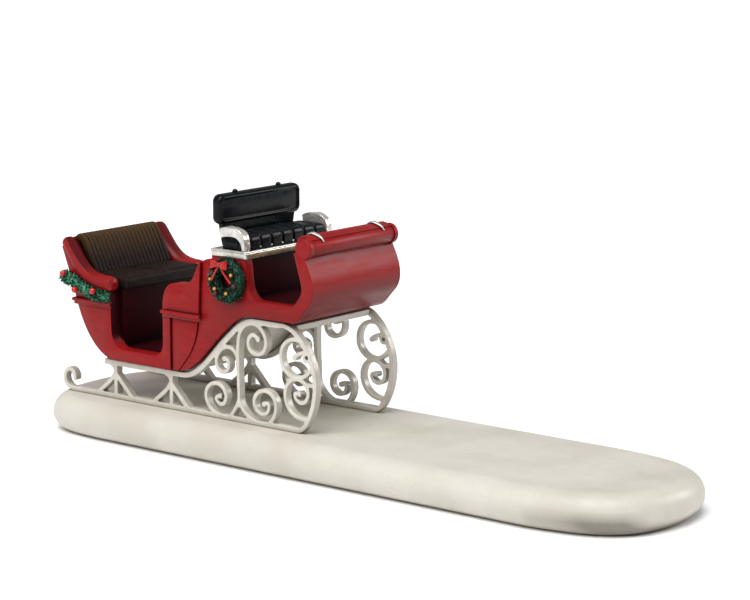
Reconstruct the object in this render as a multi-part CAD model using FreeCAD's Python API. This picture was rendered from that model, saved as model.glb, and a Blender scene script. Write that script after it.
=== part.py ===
"""A sleigh figurine standing on its plinth, drawn in millimetres.

+X is the way the sleigh travels, +Y is its left and +Z is up.  The origin is the
middle of the plinth's underside.  A list of points holds (x, z) pairs of a side
view, measured from the datum: the front end of a runner's sole, on the plinth.
Right-hand pieces are drawn and the left-hand ones are their mirror images.
"""
import math
import os

import FreeCAD, Part

# Plinth: a long slab with a blunt rear end and a rounder front end, as (x, y) pairs.
PLINTH_HEIGHT = 12.0
PLINTH_ROUND = 5.9
PLINTH_REAR = [(-76.2, 30.4), (-90.8, 30.0), (-105.0, 26.7), (-113.0, 14.8), (-114.8, 0.0)]
PLINTH_FRONT = [(114.8, 0.0), (113.7, 9.3), (110.9, 16.6), (105.3, 22.7), (96.7, 27.2),
                (84.4, 29.8), (67.8, 30.4)]

# The datum's place in the part's frame.
DATUM_X = -8.2

# Widths across the sleigh: half the body's width is measured from the middle
# plane, and the other widths follow from it.
BODY_HALF_WIDTH = 20.8
RUNNER_INSET = 1.4
RUNNER_THICKNESS = 2.5
SIDE_THICKNESS = 3.2
SKIN_THICKNESS = 1.0
PANEL_THICKNESS = 0.5

# Runner: a cast plate with a sole, a rail under the body and a round front rim.
SOLE_REAR_X = -96.0
SOLE_FRONT_X = -0.4
SOLE_HEIGHT = 1.6
CURL_WIDTH = 1.3
CURL = [(-94.0, 0.75), (-97.0, 1.0), (-99.0, 2.5), (-99.4, 4.6), (-98.4, 6.5),
        (-96.7, 7.0), (-95.4, 6.0), (-95.0, 4.2)]
RAIL_WIDTH = 1.8
RAIL_REAR_X = -81.2
RAIL_TOP_Z = 12.5
RISE = [(-48.0, 12.5), (-43.6, 13.6), (-40.0, 16.0), (-36.8, 19.0), (-34.5, 21.3),
        (-32.3, 23.7), (-29.5, 26.3), (-26.8, 28.7), (-24.1, 30.8), (-21.4, 32.2),
        (-18.0, 32.8)]
CREST_FRONT_X = -7.5
CREST_Z = 32.8
RIM_WIDTH = 1.5
RIM = [(-9.0, 32.8), (-7.5, 32.8), (-5.0, 32.5), (-2.7, 31.6), (-0.5, 29.9), (2.0, 27.4), (3.9, 24.4),
       (5.5, 21.0), (6.4, 16.9), (6.4, 13.3), (5.9, 9.6), (4.5, 5.5), (2.7, 2.4),
       (0.9, 0.5), (-0.8, 0.0)]

# The two three-legged struts near the rear, drawn from the middle of each post.
STRUT_POST_X = [-76.5, -52.5]
STRUT_WIDTH = 1.4
STRUT_POST = [(0.0, 11.4), (0.0, 1.0)]
STRUT_REAR_LEG = [(-0.2, 8.6), (-1.7, 6.4), (-4.2, 4.2), (-7.6, 1.2)]
STRUT_FRONT_LEG = [(0.2, 7.9), (2.2, 5.9), (4.4, 3.7), (7.0, 1.1)]
STRUT_FILLET_WIDTH = 1.0
STRUT_FILLET = [(-0.2, 8.8), (-0.9, 10.2), (-2.4, 11.1), (-4.4, 11.6)]

# The front post, which bends into a scroll at its top and has two feet.
POST_WIDTH = 1.25
POST_SCROLL = [(-24.5, 4.6), (-24.6, 15.0), (-24.6, 23.0), (-24.2, 26.6), (-22.6, 29.6),
               (-20.0, 31.1), (-17.4, 31.1), (-15.0, 29.6), (-13.5, 27.0), (-13.5, 24.6),
               (-15.0, 22.6), (-17.3, 21.9), (-19.4, 22.8), (-20.5, 24.9), (-20.1, 26.8),
               (-18.6, 27.7), (-17.1, 27.3), (-16.5, 26.6)]
POST_FRONT_FOOT = [(-24.4, 7.2), (-23.5, 5.2), (-21.8, 3.2), (-19.4, 1.6), (-17.0, 0.9)]
POST_REAR_FOOT = [(-24.6, 6.4), (-25.5, 4.6), (-26.9, 2.6), (-28.4, 0.9)]

# Scrolls, as the middle line of each band.  A band's tip that comes out beyond the
# rim is an off-cut, and shorter across its corners than the off-cut's length.
SCROLL_WIDTH = 1.25
OFFCUT_LENGTH = 4.0
SCROLL_EYE_RADIUS = 0.85
LOWER_REAR_SCROLL = [(-31.4, 1.0), (-34.6, 1.7), (-37.2, 4.2), (-38.0, 7.2), (-36.8, 9.6),
                     (-34.4, 10.8), (-32.0, 10.5), (-30.1, 8.8), (-29.7, 6.7), (-30.7, 5.0),
                     (-32.5, 4.6), (-33.6, 5.7), (-33.2, 7.0), (-32.1, 7.1)]
LOWER_MIDDLE_SCROLL = [(-13.2, 0.9), (-10.8, 2.8), (-9.7, 5.4), (-9.8, 8.2), (-11.4, 10.4),
                       (-14.2, 11.1), (-16.9, 10.1), (-18.3, 7.6), (-17.6, 5.2), (-15.6, 3.9),
                       (-13.3, 4.3), (-12.2, 6.0), (-12.9, 7.6), (-14.3, 7.0)]
SLOPE_SCROLL = [(-24.9, 17.6), (-25.2, 20.4), (-26.7, 22.3), (-29.2, 22.7), (-31.8, 21.4),
                (-33.4, 18.8), (-33.3, 16.4), (-31.8, 14.9), (-29.6, 15.1), (-28.4, 16.9),
                (-28.8, 18.7), (-30.2, 18.9)]
UPPER_FRONT_SCROLL = [(2.4, 26.0), (0.9, 27.7), (-1.2, 28.4), (-3.6, 28.1), (-6.0, 26.6),
                      (-7.3, 24.2), (-7.4, 21.9), (-6.6, 19.5), (-4.9, 17.7), (-2.7, 16.9),
                      (-0.4, 16.9), (1.8, 17.7), (3.7, 19.2), (5.2, 20.6)]
UPPER_FRONT_CURL = [(3.6, 25.1), (1.9, 24.8), (0.2, 24.4), (-1.2, 23.7), (-2.0, 22.9)]
LOWER_FRONT_SCROLL = [(4.6, 5.4), (2.2, 4.6), (-0.2, 4.7), (-2.6, 5.6), (-4.5, 7.3),
                      (-5.6, 9.6), (-5.8, 12.0), (-4.9, 14.4), (-3.1, 16.0), (-0.9, 16.4),
                      (1.3, 15.8), (2.8, 14.3), (3.2, 12.3), (2.4, 10.4), (0.7, 9.5),
                      (-1.1, 10.0), (-2.0, 11.3), (-1.4, 12.4), (-0.3, 12.1)]
FRONT_TIE = [(2.2, 14.9), (4.0, 15.2), (5.9, 15.0)]
TRACE_PAD_RADIUS = 1.6
TRACE_HOLE_RADIUS = 0.65
TRACE_HOLE = (2.7, 23.4)

# Saddle plate between rails and body, and the bar between the runners' fronts.
SADDLE_THICKNESS = 0.7
SADDLE_INSET = 1.0
CROSSBAR_X = (-5.4, -2.9)
CROSSBAR_Z = (30.6, 32.1)
CROSSBAR_ROUND = 0.3

# Body: the outline of a side, in pieces that start where the last one ends.
# The dash's skin laps over the sides' front edges, all but a thin lip outside.
FRONT_ROUND = 0.25
DASH_LIP = 0.5
DASH_SKIN = 1.0
DASH_ROUND = 0.45
BELLY = [(-1.0, 33.5), (0.5, 34.6), (1.9, 36.1), (3.6, 37.9), (5.1, 39.6), (6.0, 41.4),
         (6.4, 43.8), (6.3, 45.9), (5.7, 48.0), (4.7, 50.4), (3.6, 52.7), (3.0, 54.6)]
DASH_INSIDE = [(-0.9, 54.6), (0.0, 52.2), (0.7, 49.8), (1.5, 47.3), (2.0, 45.2), (2.1, 43.3),
               (1.5, 41.9), (0.4, 40.4), (-1.0, 39.0), (-2.6, 38.5)]
FOOTWELL_CORNER = [(-14.8, 38.5), (-17.2, 39.6), (-18.7, 41.8), (-19.3, 44.7), (-19.6, 47.7),
                   (-20.2, 50.7)]
SEAT_BOX_REAR_X = -33.4
CABIN_FRONT_TOP = [(-33.4, 49.4), (-36.0, 49.1), (-37.8, 47.9), (-38.9, 46.3), (-40.1, 43.9),
                   (-41.3, 42.1), (-43.1, 41.0), (-46.0, 40.6), (-49.0, 40.4)]
DOOR_FRONT_TOP = [(-49.0, 40.4), (-51.1, 39.5), (-52.4, 37.7), (-53.1, 35.7), (-53.4, 33.5)]
DOOR_FRONT_CORNER = [(-53.4, 21.3), (-53.9, 19.2), (-55.3, 17.6), (-57.6, 16.9)]
DOOR_REAR_CORNER = [(-70.8, 16.9), (-73.4, 17.8), (-75.0, 19.9), (-75.6, 22.9)]
QUARTER_TOP = [(-76.2, 37.1), (-80.2, 37.2), (-84.2, 38.2), (-87.2, 39.7), (-89.6, 41.7),
               (-91.5, 44.3), (-93.2, 47.2)]
REAR_CURVE = [(-96.9, 47.2), (-95.5, 43.6), (-94.2, 40.2), (-92.9, 37.0), (-91.5, 33.1),
              (-90.4, 29.7), (-89.1, 26.4), (-87.2, 22.7), (-84.3, 18.6), (-81.4, 15.8),
              (-78.6, 14.1), (-75.2, 13.2)]
SHELL_THICKNESS = 2.6
BACK_TOP = (-97.6, 49.2)
FLOORBOARD_TOP_Z = 16.9
FLOORBOARD_THICKNESS = 1.2
FLOORBOARD_X = (-86.0, -41.0)
BULKHEAD_X = (-40.6, -38.2)
BULKHEAD_Z = (14.0, 47.0)
FOOTWELL_FLOOR_Z = 38.5
FOOTWELL_FLOOR_X = (-22.6, 1.0)
SEAT_FRONT_X = (-22.6, -20.6)
SEAT_BOX_TOP_Z = 50.7

# Panels laid on the sides, which leave stepped edges between them.
SKIN_STEP_UPPER = [(-37.5, 49.8), (-37.7, 45.2), (-38.1, 39.2), (-38.4, 31.2)]
SKIN_STEP_Z = 31.2
PILASTER_FRONT_X = -50.4
PANEL_GAP = 0.6
PANEL_EDGE = [(-39.3, 30.6), (-40.0, 25.5), (-41.8, 20.7), (-44.4, 17.0), (-47.6, 13.3)]

# Belts: mouldings with a round bead over a flat step.
BEAD_PROUD = 1.2
BEAD_HEIGHT = 1.1
BEAD_ROUND = 0.45
STEP_PROUD = 0.6
STEP_HEIGHT = 1.0
REAR_BELT_X = (-92.0, -75.1)
REAR_BELT_TOP_Z = 31.5
FRONT_BELT_X = (-53.6, -37.4)
FRONT_BELT_TOP_Z = 31.9

# Wing: the rolled arm of the passengers' seat, an oval that swells to the front.
# Each section is an (x, z) place and half its height.
WING_PROUD = 2.1
WING_SECTIONS = [((-75.6, 37.1), 1.5), ((-76.3, 37.1), 2.1), ((-80.2, 37.2), 2.2),
                 ((-84.2, 38.2), 2.1), ((-87.2, 39.7), 2.1), ((-89.6, 41.7), 2.0),
                 ((-91.5, 44.3), 1.9), ((-93.2, 47.2), 1.8), ((-93.9, 48.5), 1.6),
                 ((-94.2, 49.1), 1.1)]

# Dash roll between the round heads of the sides, the dash's lining that laps over
# it and two bright straps on the lining.
ROLL_CENTRE = (2.6, 56.1)
ROLL_RADIUS = 2.85
HEAD_RADIUS = 3.15
HEAD_LENGTH = 1.8
HEAD_ROUND = 0.5
LINING_TOP = [(4.3, 58.7), (2.8, 59.3), (1.2, 59.7), (-0.1, 59.4), (-0.8, 58.4),
              (-1.0, 56.6), (-0.9, 54.6)]
STRAP_LINE = [(5.0, 57.7), (4.3, 58.7), (2.8, 59.3), (1.2, 59.7), (-0.1, 59.4)]
STRAP_WIDTH = 1.8
STRAP_THICKNESS = 0.5
STRAP_SHARE = 0.68

# Driver's seat: tray, arms, cushion and backrest.
TRAY_X = (-33.4, -19.3)
TRAY_HEIGHT = 2.0
TRAY_OVERHANG = 0.5
TRAY_ROUND = 0.5
ARM_INSET = 0.3
ARM_THICKNESS = 2.6
ARM_TOP = [(-30.9, 58.9), (-28.7, 59.7), (-25.2, 59.8), (-22.7, 59.2), (-21.2, 58.0),
           (-20.6, 56.1), (-20.4, 52.7)]
ARM_UNDERSIDE = [(-30.1, 56.2), (-28.2, 56.8), (-25.7, 56.9), (-23.7, 56.5), (-22.3, 55.4),
                 (-21.8, 52.7)]
ARM_PANEL_REAR_X = -29.6
ARM_PANEL_INSET = 0.6
DRIVER_CUSHION_X = (-31.4, -20.6)
DRIVER_CUSHION_Z = (52.7, 57.8)
DRIVER_CUSHION_CLEARANCE = 0.3
DRIVER_CUSHION_ROUND = 1.2
BACKREST_X = (-35.2, -31.8)
BACKREST_Z = (59.6, 68.9)
BACKREST_INSET = 1.9
BACKREST_CORNER = 2.6
BACKREST_ROUND = 0.9
BACKREST_STAY_SHARE = 0.58
BACKREST_STAY_RADIUS = 1.0
KNOB_SHARE = 0.48
KNOB_RADIUS = 0.9

# Passengers' seat.
BACK_PAD = [(-95.3, 49.6), (-93.6, 50.2), (-91.9, 49.4), (-89.4, 44.6), (-86.4, 38.9)]
BACK_PAD_DEPTH = 0.7
BACK_PAD_CLEARANCE = 0.4
BENCH_X = (-92.0, -72.6)
BENCH_Z = (35.2, 38.9)
BENCH_ROUND = 1.3
RISER_X = (-76.2, -74.4)

# Wreaths on the sides with a bow and berries.
WREATH_CENTRE = (-26.0, 44.0)
WREATH_MEAN_RADIUS = 4.5
WREATH_TUBE_RADIUS = 2.1
WREATH_SUNK = 0.4
BOW_CENTRE = (-26.8, 49.0)
BOW_LOOP_LENGTH = 2.9
BOW_LOOP_HEIGHT = 2.2
BOW_KNOT_RADIUS = 0.9
BOW_TAIL_WIDTH = 0.8
BOW_TAILS = [[(-27.2, 48.8), (-29.9, 44.2)], [(-26.4, 48.8), (-22.6, 43.8)]]
BERRY_RADIUS = 0.55
WREATH_BERRIES = [(-22.4, 46.2), (-31.0, 44.2), (-29.1, 41.4), (-24.5, 40.4)]
CONE_BERRIES = [(-21.4, 42.9), (-28.8, 40.1), (-30.0, 46.4)]

# Garland round the rear: the (x, z) places of its right half, and the share of its
# greatest half width at each, and the same for its berries.
GARLAND_RADIUS = 1.8
GARLAND_LINE = [(-75.8, 33.2), (-82.0, 33.8), (-87.0, 35.6), (-91.6, 37.2), (-95.9, 37.4),
                (-97.2, 36.6), (-96.2, 34.6), (-95.3, 33.6)]
GARLAND_SHARES = [1.0, 1.0, 1.0, 1.0, 0.915, 0.72, 0.38, 0.0]
GARLAND_BERRY_RADIUS = 1.05
GARLAND_BERRIES = [(-80.4, 34.9), (-88.2, 34.6), (-94.1, 39.0)]
GARLAND_BERRY_SHARES = [1.055, 1.064, 1.025]

SAMPLES_PER_SPAN = 1
ARC_TOLERANCE = 0.05


def at_datum(points):
    """Move (x, z) pairs from the datum to the part's frame."""
    return [(x + DATUM_X, z + PLINTH_HEIGHT) for x, z in points]


def vec(point, y):
    """Make a vector from an (x, z) pair and a y."""
    return FreeCAD.Vector(point[0], y, point[1])


def spline(points, y=0.0, flat_start=False, flat_end=False):
    """Return the smooth curve through the points, level at an end if asked."""
    level = FreeCAD.Vector(1, 0, 0)
    curve = Part.BSplineCurve()
    if flat_start and flat_end:
        curve.interpolate(Points=[vec(p, y) for p in points],
                          InitialTangent=level, FinalTangent=level)
    else:
        curve.interpolate([vec(p, y) for p in points])
    return curve


def beside(points, distance, flat_ends=False):
    """Sample the curve through the points, moved to its left by a distance."""
    curve = spline(points, flat_start=flat_ends, flat_end=flat_ends)
    count = (len(points) - 1) * SAMPLES_PER_SPAN
    first, last = curve.FirstParameter, curve.LastParameter
    moved = []
    for step in range(count + 1):
        at = first + (last - first) * step / count
        spot = curve.value(at)
        along = curve.tangent(at)[0]
        moved.append((spot.x - distance * along.z, spot.z + distance * along.x))
    return moved


def edges(pieces, y):
    """Turn pieces of outline into edges: two points are a line, more a run of arcs."""
    made = []
    for piece in pieces:
        if len(piece) == 2:
            made.append(Part.LineSegment(vec(piece[0], y), vec(piece[1], y)).toShape())
        else:
            made += [arc.toShape() for arc in spline(piece, y).toBiArcs(ARC_TOLERANCE)]
    return made


def slab(pieces, y_low, y_high):
    """Extrude a closed outline of pieces from one y to another."""
    face = Part.Face(Part.Wire(edges(pieces, y_low)))
    return face.extrude(FreeCAD.Vector(0, y_high - y_low, 0))


def joined(pieces):
    """Close a list of pieces with straight lines wherever they don't meet."""
    whole = []
    for index, piece in enumerate(pieces):
        whole.append(piece)
        following = pieces[(index + 1) % len(pieces)]
        if piece[-1] != following[0]:
            whole.append([piece[-1], following[0]])
    return whole


def strap(points, left, right, y_low, y_high):
    """Make a band that lies between two distances from a guide line."""
    one = beside(points, left)
    other = beside(points, -right)[::-1]
    return slab(joined([one, other]), y_low, y_high)


def block(x_pair, y_pair, z_pair):
    """Make a box between pairs of x and z from the datum, and a pair of y."""
    low = FreeCAD.Vector(x_pair[0] + DATUM_X, y_pair[0], z_pair[0] + PLINTH_HEIGHT)
    return Part.makeBox(x_pair[1] - x_pair[0], y_pair[1] - y_pair[0], z_pair[1] - z_pair[0], low)


def rod(centre, radius, y_low, y_high):
    """Make a cylinder along Y round an (x, z) point of the part's frame."""
    return Part.makeCylinder(radius, y_high - y_low, vec(centre, y_low), FreeCAD.Vector(0, 1, 0))


def ball(centre, y, radius):
    """Make a sphere at an (x, z) point of the part's frame."""
    return Part.makeSphere(radius, vec(centre, y))


def mirrored(shape):
    """Return the shape's mirror image across the middle plane."""
    return shape.mirror(FreeCAD.Vector(0, 0, 0), FreeCAD.Vector(0, 1, 0))


def fused(shapes):
    """Join shapes into one and drop the seams between them."""
    first, rest = shapes[0], shapes[1:]
    return first.multiFuse(rest).removeSplitter() if rest else first


def save(node, shape):
    """Write one sub-part's file."""
    shape.exportStep("parts/" + node + ".step")


def plinth_end(half, way):
    """Draw one rounded end of the plinth, level where it meets the long sides."""
    points = [FreeCAD.Vector(x, y, 0) for x, y in half]
    points += [FreeCAD.Vector(x, -y, 0) for x, y in half[-2::-1]]
    level = FreeCAD.Vector(way, 0, 0)
    curve = Part.BSplineCurve()
    curve.interpolate(Points=points, InitialTangent=level, FinalTangent=level * -1)
    return curve.toShape()


def make_plinth():
    """A slab with smooth ends and rounded edges, top and bottom."""
    ends = [plinth_end(PLINTH_REAR, -1), plinth_end(PLINTH_FRONT[::-1], 1)]
    sides = []
    for way in (-1, 1):
        rear, front = PLINTH_REAR[0], PLINTH_FRONT[-1]
        sides.append(Part.LineSegment(FreeCAD.Vector(rear[0], way * rear[1], 0),
                                      FreeCAD.Vector(front[0], way * front[1], 0)).toShape())
    outline = Part.Wire(Part.__sortEdges__(ends + sides))
    solid = Part.Face(outline).extrude(FreeCAD.Vector(0, 0, PLINTH_HEIGHT))
    rims = [e for e in solid.Edges if abs(e.BoundBox.ZLength) < PLINTH_ROUND]
    return solid.makeFillet(PLINTH_ROUND, rims)


def runner_y():
    """The right-hand runner's two faces."""
    outer = RUNNER_INSET - BODY_HALF_WIDTH
    return outer, outer + RUNNER_THICKNESS


def rail_top_pieces():
    """The rail's top line: level, then the rise, then the level crest."""
    rear = (RAIL_REAR_X, RAIL_TOP_Z)
    rise = beside(RISE, 0.0, flat_ends=True)
    crest = (CREST_FRONT_X, CREST_Z)
    return [at_datum([rear, rise[0]]), at_datum(rise), at_datum([rise[-1], crest])]


def rail_low_pieces(depth):
    """The same line moved down and aside by a depth, drawn backwards."""
    rise = beside(RISE, -depth, flat_ends=True)
    rear = (RAIL_REAR_X, RAIL_TOP_Z - depth)
    crest = (CREST_FRONT_X, CREST_Z - depth)
    return [at_datum([crest, rise[-1]]), at_datum(rise[::-1]), at_datum([rise[0], rear])]


def make_runner_frame():
    """Sole, rear curl, rail, front rim and the pad with the trace hole."""
    low, high = runner_y()
    sole = block((SOLE_REAR_X, SOLE_FRONT_X), (low, high), (0.0, SOLE_HEIGHT))
    half_curl = CURL_WIDTH / 2
    curl = strap(at_datum(CURL), half_curl, half_curl, low, high)
    curl_eye = rod(at_datum(CURL)[-1], half_curl, low, high)
    rail = slab(joined(rail_top_pieces() + rail_low_pieces(RAIL_WIDTH)), low, high)
    rim = strap(at_datum(RIM), 0.0, RIM_WIDTH, low, high)
    hole = at_datum([TRACE_HOLE])[0]
    pad = rod(hole, TRACE_PAD_RADIUS, low, high)
    frame = fused([sole, curl, curl_eye, rail, rim, pad])
    return frame.cut(rod(hole, TRACE_HOLE_RADIUS, low, high))


def make_struts(frame):
    """The two rear struts, trimmed where they meet the frame."""
    low, high = runner_y()
    half, fillet = STRUT_WIDTH / 2, STRUT_FILLET_WIDTH / 2
    solids = []
    for post_x in STRUT_POST_X:
        pieces = [(STRUT_POST, half), (STRUT_REAR_LEG, half),
                  (STRUT_FRONT_LEG, half), (STRUT_FILLET, fillet)]
        legs = [strap(at_datum([(x + post_x, z) for x, z in line]), wide, wide, low, high)
                for line, wide in pieces]
        solids.append(fused(legs).cut(frame))
    return Part.makeCompound([s for solid in solids for s in solid.Solids])


def make_scrolls(frame):
    """The front post, its feet and every scroll, trimmed against the frame."""
    low, high = runner_y()
    post, band = POST_WIDTH / 2, SCROLL_WIDTH / 2
    lines = [(POST_SCROLL, post), (POST_FRONT_FOOT, post), (POST_REAR_FOOT, post),
             (LOWER_REAR_SCROLL, band), (LOWER_MIDDLE_SCROLL, band), (SLOPE_SCROLL, band),
             (UPPER_FRONT_SCROLL, band), (UPPER_FRONT_CURL, band),
             (LOWER_FRONT_SCROLL, band), (FRONT_TIE, band)]
    eyes = [POST_SCROLL, LOWER_REAR_SCROLL, LOWER_MIDDLE_SCROLL, SLOPE_SCROLL,
            UPPER_FRONT_CURL, LOWER_FRONT_SCROLL]
    solids = [strap(at_datum(line), wide, wide, low, high) for line, wide in lines]
    solids += [rod(at_datum(line)[-1], SCROLL_EYE_RADIUS, low, high) for line in eyes]
    hole = rod(at_datum([TRACE_HOLE])[0], TRACE_PAD_RADIUS, low, high)
    trimmed = fused(solids).cut(frame).cut(hole)
    return Part.makeCompound([solid for solid in trimmed.Solids
                              if solid.BoundBox.DiagonalLength > OFFCUT_LENGTH])


def make_saddle():
    """A thin plate on both rails, which keeps the body's sides off them."""
    half = BODY_HALF_WIDTH - RUNNER_INSET - SADDLE_INSET
    pieces = rail_low_pieces(-SADDLE_THICKNESS)[::-1]
    top = [piece[::-1] for piece in pieces]
    low = [piece[::-1] for piece in rail_top_pieces()[::-1]]
    return slab(joined(top + low), -half, half)


def make_crossbar():
    """The bar between the two runners' front rims."""
    inner = runner_y()[1]
    bar = block(CROSSBAR_X, (inner, -inner), CROSSBAR_Z)
    long_edges = [e for e in bar.Edges if e.BoundBox.YLength > RUNNER_THICKNESS]
    return bar.makeFillet(CROSSBAR_ROUND, long_edges)


def body_bottom():
    """The body's underside, from the rear curve's foot to the belly."""
    rise = beside(RISE, SADDLE_THICKNESS, flat_ends=True)
    rear = (REAR_CURVE[-1][0], RAIL_TOP_Z + SADDLE_THICKNESS)
    front = (BELLY[0][0], CREST_Z + SADDLE_THICKNESS)
    return [[rear, rise[0]], rise, [rise[-1], front]]


def side_outline():
    """The outline of a side, with its door and footwell openings."""
    pieces = body_bottom() + [BELLY, DASH_INSIDE, FOOTWELL_CORNER,
                              [FOOTWELL_CORNER[-1], (SEAT_BOX_REAR_X, SEAT_BOX_TOP_Z)],
                              CABIN_FRONT_TOP, DOOR_FRONT_TOP, DOOR_FRONT_CORNER,
                              DOOR_REAR_CORNER, QUARTER_TOP, REAR_CURVE]
    return joined([at_datum(piece) for piece in pieces])


def make_head():
    """The round head that ends the right-hand side, beside the dash roll."""
    outer = -BODY_HALF_WIDTH
    head = rod(at_datum([ROLL_CENTRE])[0], HEAD_RADIUS, outer, outer + HEAD_LENGTH)
    rim = [e for e in head.Edges if e.BoundBox.YMax < outer + HEAD_LENGTH / 2]
    return head.makeFillet(HEAD_ROUND, rim)


def make_side(dash):
    """The right-hand side with its head, cut back for the roll and the dash's skin."""
    outer, inner = -BODY_HALF_WIDTH, SIDE_THICKNESS - BODY_HALF_WIDTH
    roll = rod(at_datum([ROLL_CENTRE])[0], ROLL_RADIUS, outer, inner)
    side = slab(side_outline(), outer, inner)
    bow = spline(at_datum(BELLY), outer)
    front = [e for e in side.Edges if lies_on(e, bow)]
    side = side.makeFillet(FRONT_ROUND, front).cut(dash).cut(roll)
    return fused([side, make_head()])


def lies_on(edge, curve):
    """True for an edge whose middle and ends all lie on a curve."""
    first, last = edge.FirstParameter, edge.LastParameter
    spots = [edge.valueAt(first + (last - first) * share) for share in (0.0, 0.5, 1.0)]
    strays = [(spot - curve.value(curve.parameter(spot))).Length for spot in spots]
    return max(strays) < 2 * ARC_TOLERANCE


def skin_region():
    """Everything behind the stepped edge of the cabin's outer skin."""
    far_rear, far_top = REAR_BELT_X[0] * 2, SEAT_BOX_TOP_Z * 2
    pieces = [[(far_rear, 0.0), (PILASTER_FRONT_X, 0.0)],
              [(PILASTER_FRONT_X, 0.0), (PILASTER_FRONT_X, SKIN_STEP_Z)],
              SKIN_STEP_UPPER[::-1],
              [SKIN_STEP_UPPER[0], (SKIN_STEP_UPPER[0][0], far_top)],
              [(SKIN_STEP_UPPER[0][0], far_top), (far_rear, far_top)]]
    return joined([at_datum(piece) for piece in pieces])


def make_skin():
    """The raised skin of the cabin's side: quarter, sill, pilaster and panel."""
    inner, outer = -BODY_HALF_WIDTH, -BODY_HALF_WIDTH - SKIN_THICKNESS
    return slab(side_outline(), outer, inner).common(slab(skin_region(), outer, inner))


def make_lower_panel():
    """The panel between the pilaster and the curved step, half as proud."""
    inner, outer = -BODY_HALF_WIDTH, -BODY_HALF_WIDTH - PANEL_THICKNESS
    rear_x = PILASTER_FRONT_X + PANEL_GAP
    pieces = [[(rear_x, SKIN_STEP_Z), (rear_x, 0.0)],
              [(rear_x, 0.0), PANEL_EDGE[-1]], PANEL_EDGE[::-1]]
    region = slab(joined([at_datum(piece) for piece in pieces]), outer, inner)
    below = block((rear_x, 0.0), (outer, inner), (0.0, SKIN_STEP_Z))
    return slab(side_outline(), outer, inner).common(region).common(below)


def inner_half():
    """Half the width between the sides."""
    return BODY_HALF_WIDTH - SIDE_THICKNESS


def make_rear_shell():
    """The curved back between the sides."""
    half = inner_half()
    guide = at_datum([BACK_TOP] + REAR_CURVE)
    return strap(guide, SHELL_THICKNESS, 0.0, -half, half)


def make_bottom(rear_shell):
    """The bottom sheet, which follows the rise up to the footwell."""
    half = inner_half()
    low = body_bottom()
    rise = beside(RISE, SADDLE_THICKNESS + SHELL_THICKNESS, flat_ends=True)
    top_rear = (low[0][0][0], rise[0][1])
    top_front = (BELLY[0][0], rise[-1][1])
    top = [[top_front, rise[-1]], rise[::-1], [rise[0], top_rear]]
    sheet = slab(joined([at_datum(piece) for piece in low + top]), -half, half)
    return sheet.cut(rear_shell)


def make_floorboards(rear_shell, bottom):
    """The cabin's flat floor at the height of the door sill."""
    half = inner_half()
    board = block(FLOORBOARD_X, (-half, half),
                  (FLOORBOARD_TOP_Z - FLOORBOARD_THICKNESS, FLOORBOARD_TOP_Z))
    return biggest(board.cut(rear_shell).cut(bottom))


def biggest(shape):
    """Keep the largest solid of a trimmed shape."""
    return max(shape.Solids, key=lambda solid: solid.Volume)


def make_bulkhead(bottom, floorboards):
    """The wall between the cabin and the driver's box."""
    half = inner_half()
    wall = block(BULKHEAD_X, (-half, half), BULKHEAD_Z)
    return biggest(wall.cut(bottom).cut(floorboards))


def make_dash_skin():
    """The dash's outer skin, which laps over the sides' front edges."""
    half = BODY_HALF_WIDTH - DASH_LIP
    front = at_datum(BELLY)
    skin = slab(joined([front, beside(front, DASH_SKIN)[::-1]]), -half, half)
    bows = [spline(front, y) for y in (-half, half)]
    ends = [e for e in skin.Edges if any(lies_on(e, bow) for bow in bows)]
    return skin.makeFillet(DASH_ROUND, ends)


def make_dash(bottom):
    """The bowed front panel from the belly up to the roll, with its skin."""
    half = inner_half()
    core = slab(joined([beside(at_datum(BELLY), DASH_SKIN / 2), at_datum(DASH_INSIDE)]),
                -half, half)
    centre = at_datum([ROLL_CENTRE])[0]
    roll = rod(centre, ROLL_RADIUS, -BODY_HALF_WIDTH, BODY_HALF_WIDTH)
    ends = [make_head(), mirrored(make_head())]
    return fused([core, make_dash_skin()]).cut([bottom, roll] + ends)


def make_footwell_floor(bottom, dash):
    """The solid floor under the driver's feet."""
    half = inner_half()
    floor = block(FOOTWELL_FLOOR_X, (-half, half), (CREST_Z, FOOTWELL_FLOOR_Z))
    return biggest(floor.cut(bottom).cut(dash))


def make_seat_front():
    """The wall under the driver's seat that faces the footwell."""
    half = inner_half()
    return block(SEAT_FRONT_X, (-half, half), (FOOTWELL_FLOOR_Z, SEAT_BOX_TOP_Z))


def moulding(x_pair, top_z, inner):
    """Make a bead over a step as a band between two values of x, all round the body."""
    flat, proud = inner + STEP_PROUD, inner + BEAD_PROUD
    bead_z = top_z - BEAD_HEIGHT
    bead = block(x_pair, (-proud, proud), (bead_z, top_z))
    bead = bead.makeFillet(BEAD_ROUND, [e for e in bead.Edges if is_outer(e, bead)])
    step_x = (x_pair[0] + BEAD_PROUD - STEP_PROUD, x_pair[1])
    step = block(step_x, (-flat, flat), (bead_z - STEP_HEIGHT, bead_z))
    return fused([bead, step])


def is_outer(edge, shape):
    """True for an edge on a band's rear end or either side face."""
    box, whole = edge.BoundBox, shape.BoundBox
    at_rear = box.XMax < whole.XMin + BEAD_ROUND
    return at_rear or lies_at_y(edge, whole.YMin) or lies_at_y(edge, whole.YMax)


def lies_at_y(edge, y):
    """True for an edge that lies in a plane of constant y."""
    return abs(edge.BoundBox.YMin - y) + abs(edge.BoundBox.YMax - y) < BEAD_ROUND / 2


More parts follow.
